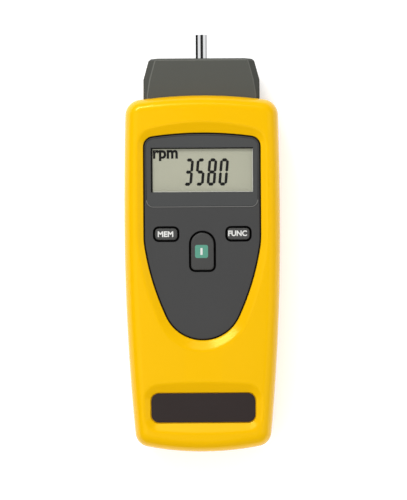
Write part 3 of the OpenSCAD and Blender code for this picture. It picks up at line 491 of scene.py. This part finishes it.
def ribbon(path, width, low, high):
    """A flat closed band: a rectangle of the given width carried along a level path, with both ends capped.
    Each corner of the rectangle is the path moved sideways by half the width, at one of two heights."""
    run = np.gradient(path, axis=0)
    side = np.column_stack([-run[:, 1], run[:, 0]]) / np.hypot(*run.T)[:, None] * width / 2
    corners = [(path - side, low), (path + side, low), (path + side, high), (path - side, high)]
    rows = np.stack([np.column_stack([xy, np.full(len(xy), z)]) for xy, z in corners], 1)
    faces = grid_faces(len(path), 4).tolist()
    last = 4 * (len(path) - 1)
    return rows.reshape(-1, 3), faces + [[3, 2, 1, 0], [last, last + 1, last + 2, last + 3]]


bend_points, line_points = 14, 10
corner_turn = np.linspace(-math.pi / 2, 0, bend_points)
line_half = window_top.x - edge_line_w / 2
line_foot = window_low.y + edge_line_w / 2
bend_r = window_corner_r - edge_line_w / 2
bend_middle = np.array([line_half - bend_r, line_foot + bend_r])
right_bend = np.stack([np.cos(corner_turn), np.sin(corner_turn)], 1) * bend_r + bend_middle
left_bend = right_bend[::-1] * [-1, 1]
straight = np.column_stack([np.linspace(-1, 1, line_points + 2)[1:-1] * (line_half - bend_r),
                            np.full(line_points, line_foot)])
edge_path = np.concatenate([left_bend, straight, right_bend])
# Painted highlight: a pale strip on the window's lower edge, where light catches it
window_edge_highlight = mesh_object("window_edge_highlight", *ribbon(edge_path, edge_line_w, window_top.z,
                                                 window_top.z + edge_line_t))
window_highlight_finish = finish_for("window_highlight_finish", srgb(116, 116, 114), 0.3, depth=0.0, mottle=0.02,
                           Specular_IOR_Level=0.2)
dress(window_highlight_finish, window_edge_highlight)
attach(window_edge_highlight, "case")

view_half_w = 19.5 * MM
view_low_y, view_high_y = 18.95 * MM, 35.95 * MM
view_half_h = (view_high_y - view_low_y) / 2
view_middle = np.array([0, (view_low_y + view_high_y) / 2])
view_corners = np.array([[1, 1], [-1, 1], [-1, -1], [1, -1]]) * [view_half_w, view_half_h]
window_border = 0.7 * MM
print_inset = 0.02 * MM
print_t = 0.012 * MM
print_lines = 240


def printed_border():
    """A flat ring on the window, from the aperture's edge to near the window's own edge. Both edges are
    taken along the same lines from the middle of the view, with a line through each of the aperture's
    corners."""
    upper = grown(panel_ring, -window_border - print_inset)
    foot = window_low.y + edge_line_w
    bends = np.concatenate([left_bend, right_bend]) + [0, edge_line_w]
    loop = np.concatenate([upper[upper[:, 1] > foot + window_corner_r],
                           bends * [1 - print_inset / line_half, 1]])
    order = np.argsort(np.arctan2(*(loop - view_middle).T[::-1]))
    even = np.linspace(-math.pi, math.pi, print_lines + 1)[:-1]
    lines = np.sort(np.r_[even, np.arctan2(*view_corners.T[::-1])])
    spokes = np.stack([np.cos(lines), np.sin(lines)], 1)
    outer = view_middle + reach(loop[order], view_middle, lines)[:, None] * spokes
    across = (view_corners[0] / np.maximum(np.abs(spokes), 1e-9)).min(1)
    inner = view_middle + across[:, None] * spokes
    heights = window_top.z + np.array([0, 0, print_t, print_t])
    rounds = np.stack([np.column_stack([xy, np.full(len(lines), z)])
                       for xy, z in zip((inner, outer, outer, inner), heights)])
    return rounds.reshape(-1, 3), grid_faces(4, len(lines), wrap_rows=True)


window_print = mesh_object("window_print", *printed_border())
border_grey = finish_for("printed_border", srgb(75, 76, 76), 0.35, depth=0.03, Specular_IOR_Level=0.2)
dress(border_grey, window_print)
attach(window_print, "case")

# Display: a glass cell with a grey-green reflecting back, on conducting strips, under a foam gasket. Its
# front glass stands up in the aperture. The reading is dark slanted segments, with the unit beside it.
display_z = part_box("display_glass")[1].z
crystal = finish_for("liquid_crystal_cell", srgb(182, 182, 162), 0.25, depth=0.02, mottle=0.03,
                     Specular_IOR_Level=0.2)
dress(crystal, nodes["display_glass"])
foam = finish_for("black_foam", srgb(28, 28, 28), 0.9, grain=0.0006, depth=0.5)
dress(foam, nodes["display_gasket"])
silicone = finish_for("pink_silicone", srgb(220, 150, 160), 0.6)
dress(silicone, nodes["contact_strips"])

segment_skin = 0.03 * MM


def film(name, loops, body, surface_z, skin, material):
    """A printed film on a surface, from flat loops."""
    piece = mesh_object(name, *gathered([pocket(loop, surface_z, surface_z + skin) for loop in loops]))
    dress(material, piece)
    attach(piece, body)
    return piece


def angle_loop(corner, far, upright_w, level_w):
    """Two bars that meet at a corner, one to the height and one to the width of a far corner: the six
    points of the angle, counter-clockwise where the far corner lies up and right or down and left."""
    (x0, y0), (x1, y1) = corner, far
    x, y = x0 + math.copysign(upright_w, x1 - x0), y0 + math.copysign(level_w, y1 - y0)
    return np.array([[x0, y0], [x1, y0], [x1, y], [x, y], [x, y1], [x0, y1]])


segment_black = finish_for("segment_black", srgb(16, 16, 14), 0.6, depth=0.0, Specular_IOR_Level=0.1)
# A black strip along the cell's left and upper edges is painted shadow, and a pale strip along the other
# two is a painted highlight
shadow_left_w, shadow_top_w, highlight_w = 0.6 * MM, 0.36 * MM, 0.26 * MM
glass_gap = 0.1 * MM
glass_half = view_half_w - glass_gap
glass_foot, glass_head = view_low_y + glass_gap, view_high_y - glass_gap
shadow_loop = angle_loop((-glass_half, glass_head), (glass_half, glass_foot), shadow_left_w, shadow_top_w)[::-1]
film("display_painted_shadow", [shadow_loop], "case", display_z, segment_skin, segment_black)
# Painted highlight: a pale strip where the cell's edge catches the light
painted_glass_highlight = finish_for("painted_glass_highlight", srgb(222, 223, 212), 0.6, grain=0.0003, depth=0.1,
                          Specular_IOR_Level=0.2)
highlight_loop = angle_loop((glass_half, glass_foot), (shadow_left_w - glass_half, glass_head - shadow_top_w),
                       highlight_w, highlight_w)[::-1]
film("display_painted_highlight", [highlight_loop], "case", display_z, segment_skin, painted_glass_highlight)

digit_w = 3.5 * MM
digit_h = 10.4 * MM
digit_pitch = 4.45 * MM
segment_t = 1.2 * MM
upright_t = 1.05 * MM
segment_gap = 0.1 * MM
segment_point = 0.4
slant = math.tan(math.radians(5))
digits_left = -7.3 * MM
digits_foot = 21.45 * MM
# Segments a to g, each from one corner of the figure eight to another, in halves of its height
segment_ends = {"a": ((0, 2), (1, 2)), "b": ((1, 2), (1, 1)), "c": ((1, 1), (1, 0)), "d": ((0, 0), (1, 0)),
                "e": ((0, 1), (0, 0)), "f": ((0, 2), (0, 1)), "g": ((0, 1), (1, 1))}
figures = {"3": "abcdg", "5": "acdfg", "8": "abcdefg", "0": "abcdef"}


def segment(start, end):
    """A six-sided bar between two corners of a figure: a gap short of each corner, with a blunt point at
    both ends. The level bars are a little thicker than the upright ones."""
    scale = np.array([digit_w - segment_t, (digit_h - segment_t) / 2])
    a, b = np.array(start) * scale, np.array(end) * scale
    u = (b - a) / np.hypot(*(b - a))
    thick = segment_t if abs(u[0]) > 0.5 else upright_t
    v = np.array([-u[1], u[0]]) * thick / 2
    a, b = a + u * segment_gap, b - u * segment_gap
    point = u * thick * segment_point
    return np.array([a, a + point - v, b - point - v, b, b - point + v, a + point + v])


loops = []
for place, figure in enumerate("3580"):
    for bar in figures[figure]:
        loop = segment(*segment_ends[bar]) + segment_t / 2
        loop[:, 0] += loop[:, 1] * slant + digits_left + place * digit_pitch
        loop[:, 1] += digits_foot
        loops.append(loop)
film("display_reading", loops, "case", display_z, segment_skin, segment_black)


def lettering(name, words, left, foot, width, height, surface_z, skin, weight=0.0, tail=1.0):
    """Printed letters: the built-in face made a mesh, fitted to a width and to a height from the line to
    the letters' tops, with its tails shortened, and laid on a surface as a film of the given thickness."""
    curve = bpy.data.curves.new(name, "FONT")
    curve.body = words
    curve.offset = weight
    curve.extrude = 0.5
    curve.resolution_u = 4
    draft_letters = bpy.data.objects.new(name, curve)
    bpy.context.scene.collection.objects.link(draft_letters)
    deps = bpy.context.evaluated_depsgraph_get()
    mesh = bpy.data.meshes.new_from_object(draft_letters.evaluated_get(deps))
    bpy.data.objects.remove(draft_letters)
    co = np.zeros(len(mesh.vertices) * 3)
    mesh.vertices.foreach_get("co", co)
    co = co.reshape(-1, 3)
    low, high = co.min(0), co.max(0)
    co[:, 0] = left + (co[:, 0] - low[0]) / (high[0] - low[0]) * width
    co[:, 1] = foot + np.where(co[:, 1] < 0, tail, 1) * co[:, 1] / high[1] * height
    co[:, 2] = surface_z + (co[:, 2] + 0.5) * skin
    mesh.vertices.foreach_set("co", co.ravel())
    mesh.update()
    piece = bpy.data.objects.new(name, mesh)
    bpy.context.scene.collection.objects.link(piece)
    return piece


letter_weight = 0.035
unit_left, unit_foot = -18.65 * MM, 31.95 * MM
unit_w, unit_h = 9.5 * MM, 3.2 * MM
unit = lettering("display_unit", "rpm", unit_left, unit_foot, unit_w, unit_h, display_z, segment_skin,
                 letter_weight, tail=0.6)
dress(segment_black, unit)
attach(unit, "case")

# Keys: three charcoal keycaps with crowned tops, each with a flange that keeps it under the panel and a
# stem over its switch. Each key is painted black from a little under the panel's face down, as painted
# shade in the gap round it. The legends are printed white, and the start key has a green printed field.
key_grey = finish_for("grey_keycap", srgb(76, 76, 75), 0.5, grain=0.0003, depth=0.15,
                      Specular_IOR_Level=0.25)
start_grey = finish_for("dark_keycap", srgb(72, 72, 71), 0.5, grain=0.0003, depth=0.15,
                        Specular_IOR_Level=0.25)
# Painted shade: each key turns black a little under the panel's face, so the gap round it reads dark
gap_shade_black = srgb(10, 10, 10)
gap_shade_depth = 0.6 * MM
gap_shade_top = z_panel - gap_shade_depth


def banded(material, axis, low, high, colour, metallic=0.0):
    """The same finish with another colour outside a band: the finish's own share is one where the distance
    from the band's middle, along an axis of the piece's own coordinates, is at most half its width."""
    tree = material.node_tree
    shader = tree.nodes["Principled BSDF"]
    place = tree.nodes.new("ShaderNodeTexCoord")
    split = tree.nodes.new("ShaderNodeSeparateXYZ")
    within = tree.nodes.new("ShaderNodeMath")
    within.operation = "COMPARE"
    within.inputs[1].default_value = (low + high) / 2
    within.inputs[2].default_value = (high - low) / 2
    pick = tree.nodes.new("ShaderNodeMix")
    pick.data_type = "RGBA"
    pick.inputs["A"].default_value = colour
    tree.links.new(place.outputs["Object"], split.inputs[0])
    tree.links.new(split.outputs[axis], within.inputs[0])
    tree.links.new(within.outputs[0], pick.inputs["Factor"])
    tree.links.new(shader.inputs["Base Color"].links[0].from_socket, pick.inputs["B"])
    tree.links.new(pick.outputs["Result"], shader.inputs["Base Color"])
    if metallic:
        metal = tree.nodes.new("ShaderNodeMapRange")
        metal.inputs["To Min"].default_value = metallic
        metal.inputs["To Max"].default_value = 0
        tree.links.new(within.outputs[0], metal.inputs["Value"])
        tree.links.new(metal.outputs["Result"], shader.inputs["Metallic"])
    return material


start_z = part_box("start_key")[1].z
over_keys_z = start_z + 1 * MM
dress(banded(key_grey, "Z", gap_shade_top, over_keys_z, gap_shade_black), nodes["memory_key"], nodes["function_key"])
dress(banded(start_grey, "Z", gap_shade_top, over_keys_z, gap_shade_black), nodes["start_key"])
eased(0.06 * MM, nodes["memory_key"], nodes["function_key"], nodes["start_key"])
print_skin = 0.02 * MM
print_white = finish_for("printed_white", srgb(226, 226, 222), 0.5, depth=0.0)
legend_h = 2.05 * MM
for key, words, width, left, up in (("memory_key", "MEM", 5.9 * MM, 0.25 * MM, 0.05 * MM),
                                    ("function_key", "FUNC", 7.15 * MM, 0.35 * MM, 0.25 * MM)):
    low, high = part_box(key)
    legend = lettering(key + "_legend", words, (low.x + high.x - width) / 2 - left,
                       (low.y + high.y - legend_h) / 2 + up, width, legend_h, high.z, print_skin,
                       letter_weight)
    dress(print_white, legend)
    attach(legend, key)

field_middle = np.array([-0.35 * MM, -3.6 * MM])
field_side, field_corner = 4.95 * MM, 0.8 * MM
bar_half = np.array([0.4, 1.3]) * MM


def rounded_square(side, corner, middle):
    """A square loop with round corners: quarter circles about four inner corners, counter-clockwise."""
    turn = np.linspace(0, math.pi / 2, 7)
    quarter = np.stack([np.cos(turn), np.sin(turn)], 1) * corner + (side / 2 - corner)
    spin = np.array([[0, 1], [-1, 0]])
    return np.concatenate([quarter @ np.linalg.matrix_power(spin, k) for k in range(4)]) + middle


print_green = finish_for("printed_green", srgb(88, 156, 134), 0.5, depth=0.0)
start_field = rounded_square(field_side, field_corner, field_middle)
film("start_field", [start_field], "start_key", start_z, print_skin, print_green)
start_bar = np.array([[-1, -1], [1, -1], [1, 1], [-1, 1]]) * bar_half + field_middle
film("start_bar", [start_bar], "start_key", start_z + print_skin, print_skin, print_white)

# Plate: a dark brown-grey polycarbonate plate, cut with round corners and stuck into the pocket of the
# lower recess. It is left bare.
plate_brown = finish_for("bare_plate", srgb(51, 43, 42), 0.45, grain=0.0003, depth=0.12, mottle=0.06,
                         Specular_IOR_Level=0.25)
dress(plate_brown, nodes["nameplate"])
eased(0.12 * MM, nodes["nameplate"])

# Contact adapter: a grey ABS housing that plugs into the top of the case, closed by a black end plate with
# two small screws. Ball bearings in it carry the spindle. Its colour has a painted highlight along the
# edges of its faces, and painted shade on its chamfers and sides.
adapter_abs = finish_for("grey_moulded_abs", srgb(104, 105, 99), 0.6, grain=0.0003, depth=0.15,
                         Specular_IOR_Level=0.08)
# Shares of the colour by the height in the chamfer's zone: painted shade on the sides and chamfers, a
# painted highlight on the edge, then the face
chamfer_zone = 1.0 * MM
edge_light_stops = ((0.45, 0.52), (0.6, 1), (0.95, 1), (0.98, 0.672))


def painted_edge_light(material):
    """The same finish with painted light and shade: the colour is multiplied by a share that goes by the
    height over or under the middle. The share is full just off the flat face, where the chamfer starts, as
    a painted highlight, lower on the face, and lowest on the chamfers and sides, as painted shade."""
    tree = material.node_tree
    base = tree.nodes["Principled BSDF"].inputs["Base Color"]
    place = tree.nodes.new("ShaderNodeTexCoord")
    split = tree.nodes.new("ShaderNodeSeparateXYZ")
    above = tree.nodes.new("ShaderNodeMath")
    above.operation = "SUBTRACT"
    above.inputs[1].default_value = axis_z
    away = tree.nodes.new("ShaderNodeMath")
    away.operation = "ABSOLUTE"
    depth = tree.nodes.new("ShaderNodeMapRange")
    depth.inputs["From Min"].default_value = adapter_high.z - axis_z - chamfer_zone
    depth.inputs["From Max"].default_value = adapter_high.z - axis_z
    edge_light_ramp = tree.nodes.new("ShaderNodeValToRGB")
    ramp = edge_light_ramp.color_ramp
    ramp.elements.remove(ramp.elements[1])
    for k, (level, share) in enumerate(edge_light_stops):
        stop = ramp.elements[0] if k == 0 else ramp.elements.new(level)
        stop.position = level
        stop.color = (share, share, share, 1)
    light_and_shade = tree.nodes.new("ShaderNodeMix")
    light_and_shade.data_type = "RGBA"
    light_and_shade.blend_type = "MULTIPLY"
    light_and_shade.inputs["Factor"].default_value = 1
    tree.links.new(place.outputs["Object"], split.inputs[0])
    tree.links.new(split.outputs["Z"], above.inputs[0])
    tree.links.new(above.outputs[0], away.inputs[0])
    tree.links.new(away.outputs[0], depth.inputs["Value"])
    tree.links.new(depth.outputs["Result"], edge_light_ramp.inputs["Fac"])
    tree.links.new(base.links[0].from_socket, light_and_shade.inputs["A"])
    tree.links.new(edge_light_ramp.outputs["Color"], light_and_shade.inputs["B"])
    tree.links.new(light_and_shade.outputs["Result"], base)
    return material


# Painted highlight along the housing's edges and painted shade on its chamfers and sides
dress(painted_edge_light(adapter_abs), nodes["adapter_housing"])
eased(0.5 * MM, nodes["adapter_housing"], angle=8)
black_abs = finish_for("black_moulded_abs", srgb(30, 30, 32), 0.55)
dress(black_abs, nodes["adapter_end_plate"], nodes["rotor_disc"], nodes["optics_block"])
eased(0.1 * MM, nodes["adapter_end_plate"], nodes["optics_block"])

# Spindle: turned and polished stainless steel. It takes push-on tips outside, and inside it carries the
# bearings' inner rings, a clip and the rotor with its reflecting flags.
bright_steel = finish_for("polished_steel", srgb(226, 227, 228), 0.08, depth=0.0, mottle=0.01, metallic=1.0)
bearing_steel = finish_for("ground_steel", srgb(200, 202, 205), 0.2, depth=0.03, mottle=0.02, metallic=1.0)
dress(bright_steel, nodes["spindle"])
dress(bearing_steel, nodes["bearing_outer_rings"], nodes["bearing_inner_rings"], nodes["bearing_balls"])
reflector = finish_for("reflecting_film", srgb(235, 235, 235), 0.15, depth=0.0, metallic=1.0)
dress(reflector, nodes["rotor_flags"])
brass = finish_for("turned_brass", srgb(205, 165, 85), 0.25, depth=0.05, metallic=1.0)
dress(brass, nodes["bearing_spacer"], nodes["laser_barrel"])

# Fasteners and contacts: screws, springs, contact plates, a clip, switch shells and metal cans, all of
# steel that is turned, coiled or stamped and then nickel-plated.
nickel = finish_for("nickel_plate", srgb(195, 196, 198), 0.28, depth=0.04, mottle=0.03, metallic=1.0)
for name in ("case_screws", "board_screws", "adapter_screws", "rotor_screw", "spindle_clip", "cell_springs",
             "cell_contacts", "key_switches", "laser_diode", "light_sensor"):
    dress(nickel, nodes[name])

# Board: glass-fibre under a green mask, with black epoxy packages soldered to its underside. Small screws
# hold it to posts of the front half.
board_mask = finish_for("green_solder_mask", srgb(28, 98, 60), 0.4, grain=0.0008, depth=0.1, mottle=0.1)
epoxy = finish_for("black_epoxy", srgb(34, 34, 36), 0.6)
dress(board_mask, nodes["main_board"])
dress(epoxy, nodes["board_components"])

# Optics: moulded acrylic lenses for the laser and its sensor, carried by the black block, and a red acrylic
# window set into the socket's floor in front of them.
lens_acrylic = finish_for("lens_acrylic", srgb(215, 222, 226), 0.05, depth=0.0, Alpha=0.35)
red_acrylic = finish_for("red_acrylic", srgb(140, 22, 26), 0.08, depth=0.0, mottle=0.02)
dress(lens_acrylic, nodes["laser_lens"], nodes["sensor_lens"])
dress(red_acrylic, nodes["optics_window"])

# Cells: two AA cells, steel cans with bare dark sleeves that stop short of their ends, held between springs
# and contact plates.
can_end = 1.3 * MM
button = 1.5 * MM
can_steel = srgb(195, 196, 198)
for name, foot, head in (("left_cell", can_end, can_end + button),
                         ("right_cell", can_end + button, can_end)):
    low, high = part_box(name)
    sleeve = finish_for(name + "_sleeve", srgb(52, 55, 60), 0.35, mottle=0.05)
    dress(banded(sleeve, "Y", low.y + foot, high.y - head, can_steel, metallic=1.0), nodes[name])

# Floor, light and camera: white paper under a strong light from the upper left, a faint strip beside it, a
# soft light overhead and a low fill from the lower right, in an even room. The camera looks straight down.
floor_half = 1.5
floor_z = -0.2 * MM
floor_corners = np.array([[-1, -1], [1, -1], [1, 1], [-1, 1]]) * floor_half
floor = mesh_object("floor", np.column_stack([floor_corners, np.full(4, floor_z)]), [[0, 1, 2, 3]])
white_paper = finish_for("white_paper", srgb(248, 248, 248), 0.9, grain=0.002, depth=0.0, mottle=0.0,
                         Specular_IOR_Level=0.0)
paper_nodes, paper_links = white_paper.node_tree.nodes, white_paper.node_tree.links
paper_glow = 0.4


def seen_directly(tree):
    """One for rays from the camera, from a reflection or through glass, and nought for the rest."""
    path = tree.nodes.new("ShaderNodeLightPath")
    either = tree.nodes.new("ShaderNodeMath")
    both = tree.nodes.new("ShaderNodeMath")
    either.operation = both.operation = "MAXIMUM"
    tree.links.new(path.outputs["Is Camera Ray"], either.inputs[0])
    tree.links.new(path.outputs["Is Glossy Ray"], either.inputs[1])
    tree.links.new(either.outputs[0], both.inputs[0])
    tree.links.new(path.outputs["Is Transmission Ray"], both.inputs[1])
    return both.outputs[0]


lift = paper_nodes.new("ShaderNodeMath")
lift.operation = "MULTIPLY"
lift.inputs[1].default_value = paper_glow
paper_links.new(seen_directly(white_paper.node_tree), lift.inputs[0])
paper_nodes["Principled BSDF"].inputs["Emission Color"].default_value = (1, 1, 1, 1)
paper_links.new(lift.outputs[0], paper_nodes["Principled BSDF"].inputs["Emission Strength"])
dress(white_paper, floor)


def lamp(name, place, width, height, power, mirrored=True):
    """A soft light at a place, turned to the origin, which shiny surfaces may or may not mirror."""
    data = bpy.data.lights.new(name, "AREA")
    data.shape = "RECTANGLE"
    data.size, data.size_y = width, height
    data.energy = power
    light = bpy.data.objects.new(name, data)
    light.location = place
    light.visible_glossy = mirrored
    x, y, z = place
    light.rotation_euler = (math.atan2(math.hypot(x, y), z), 0, math.atan2(x, -y))
    bpy.context.scene.collection.objects.link(light)


lamp("key_light", (-0.40, 0.68, 0.62), 0.5, 0.16, 4.8)
lamp("strip_light", (0.0, 0.70, 0.68), 0.42, 0.16, 0.5)
lamp("overhead_light", (-0.08, -0.18, 1.0), 0.6, 0.6, 1.95, mirrored=False)
lamp("fill_light", (0.32, -0.72, 0.26), 0.6, 0.3, 0.9, mirrored=False)
world = bpy.data.worlds.new("studio")
bpy.context.scene.world = world
world.use_nodes = True
sky = world.node_tree
backdrop = sky.nodes["Background"]
sky_level = 0.56


def studio_bands():
    """Brightness of the studio as a shiny surface sees it: a dim room with a bright hoop of light across
    the object. By the angle from straight up towards +X, the hoop has a gap round the camera and one low
    on the left."""
    place = sky.nodes.new("ShaderNodeTexCoord")
    split = sky.nodes.new("ShaderNodeSeparateXYZ")
    angle = sky.nodes.new("ShaderNodeMath")
    angle.operation = "ARCTAN2"
    share = sky.nodes.new("ShaderNodeMapRange")
    share.inputs["From Min"].default_value = -math.pi
    share.inputs["From Max"].default_value = math.pi
    bands = sky.nodes.new("ShaderNodeValToRGB")
    sky.links.new(place.outputs["Generated"], split.inputs[0])
    sky.links.new(split.outputs["X"], angle.inputs[0])
    sky.links.new(split.outputs["Z"], angle.inputs[1])
    sky.links.new(angle.outputs[0], share.inputs["Value"])
    sky.links.new(share.outputs["Result"], bands.inputs["Fac"])
    stops = [(-180, 1.0), (-96, 1.0), (-92, 0.01), (-54, 0.01), (-50, 1.0), (-14, 1.0), (-10, 0.02),
             (25, 0.04), (29, 1.0), (62, 1.0), (70, 0.55), (100, 0.55), (110, 1.0)]
    hoop_half, hoop_fade = 0.2, 1.3
    room_level = 0.08
    ramp = bands.color_ramp
    ramp.elements.remove(ramp.elements[1])
    for k, (degrees, level) in enumerate(stops):
        stop = ramp.elements[0] if k == 0 else ramp.elements.new((degrees + 180) / 360)
        stop.color = (level, level, level, 1)
    away = sky.nodes.new("ShaderNodeMath")
    away.operation = "ABSOLUTE"
    edge = sky.nodes.new("ShaderNodeMapRange")
    edge.inputs["From Min"].default_value = hoop_half
    edge.inputs["From Max"].default_value = hoop_half * hoop_fade
    hoop = sky.nodes.new("ShaderNodeMix")
    hoop.data_type = "RGBA"
    hoop.inputs["B"].default_value = (room_level, room_level, room_level, 1)
    sky.links.new(split.outputs["Y"], away.inputs[0])
    sky.links.new(away.outputs[0], edge.inputs["Value"])
    sky.links.new(edge.outputs["Result"], hoop.inputs["Factor"])
    sky.links.new(bands.outputs["Color"], hoop.inputs["A"])
    return hoop.outputs["Result"]


seen_by = sky.nodes.new("ShaderNodeLightPath")
choice = sky.nodes.new("ShaderNodeMix")
choice.data_type = "RGBA"
choice.inputs["A"].default_value = (sky_level, sky_level, sky_level, 1)
sky.links.new(seen_by.outputs["Is Glossy Ray"], choice.inputs["Factor"])
sky.links.new(studio_bands(), choice.inputs["B"])
sky.links.new(choice.outputs["Result"], backdrop.inputs["Color"])

photo_h = 500
pixel = 0.3866 * MM
outline_z = 13 * MM
camera_x, camera_y, camera_z = 0.41 * MM, -3.05 * MM, 0.8
camera_turn = math.radians(-0.34)
sensor_h = 24.0
camera_data = bpy.data.cameras.new("camera")
camera_data.sensor_fit = "VERTICAL"
camera_data.sensor_height = sensor_h
camera_data.lens = sensor_h * (camera_z - outline_z) / (photo_h * pixel)
camera = bpy.data.objects.new("camera", camera_data)
camera.location = (camera_x, camera_y, camera_z)
camera.rotation_euler = (0, 0, camera_turn)
bpy.context.scene.collection.objects.link(camera)
bpy.context.scene.camera = camera
bpy.context.scene.view_settings.view_transform = "Standard"
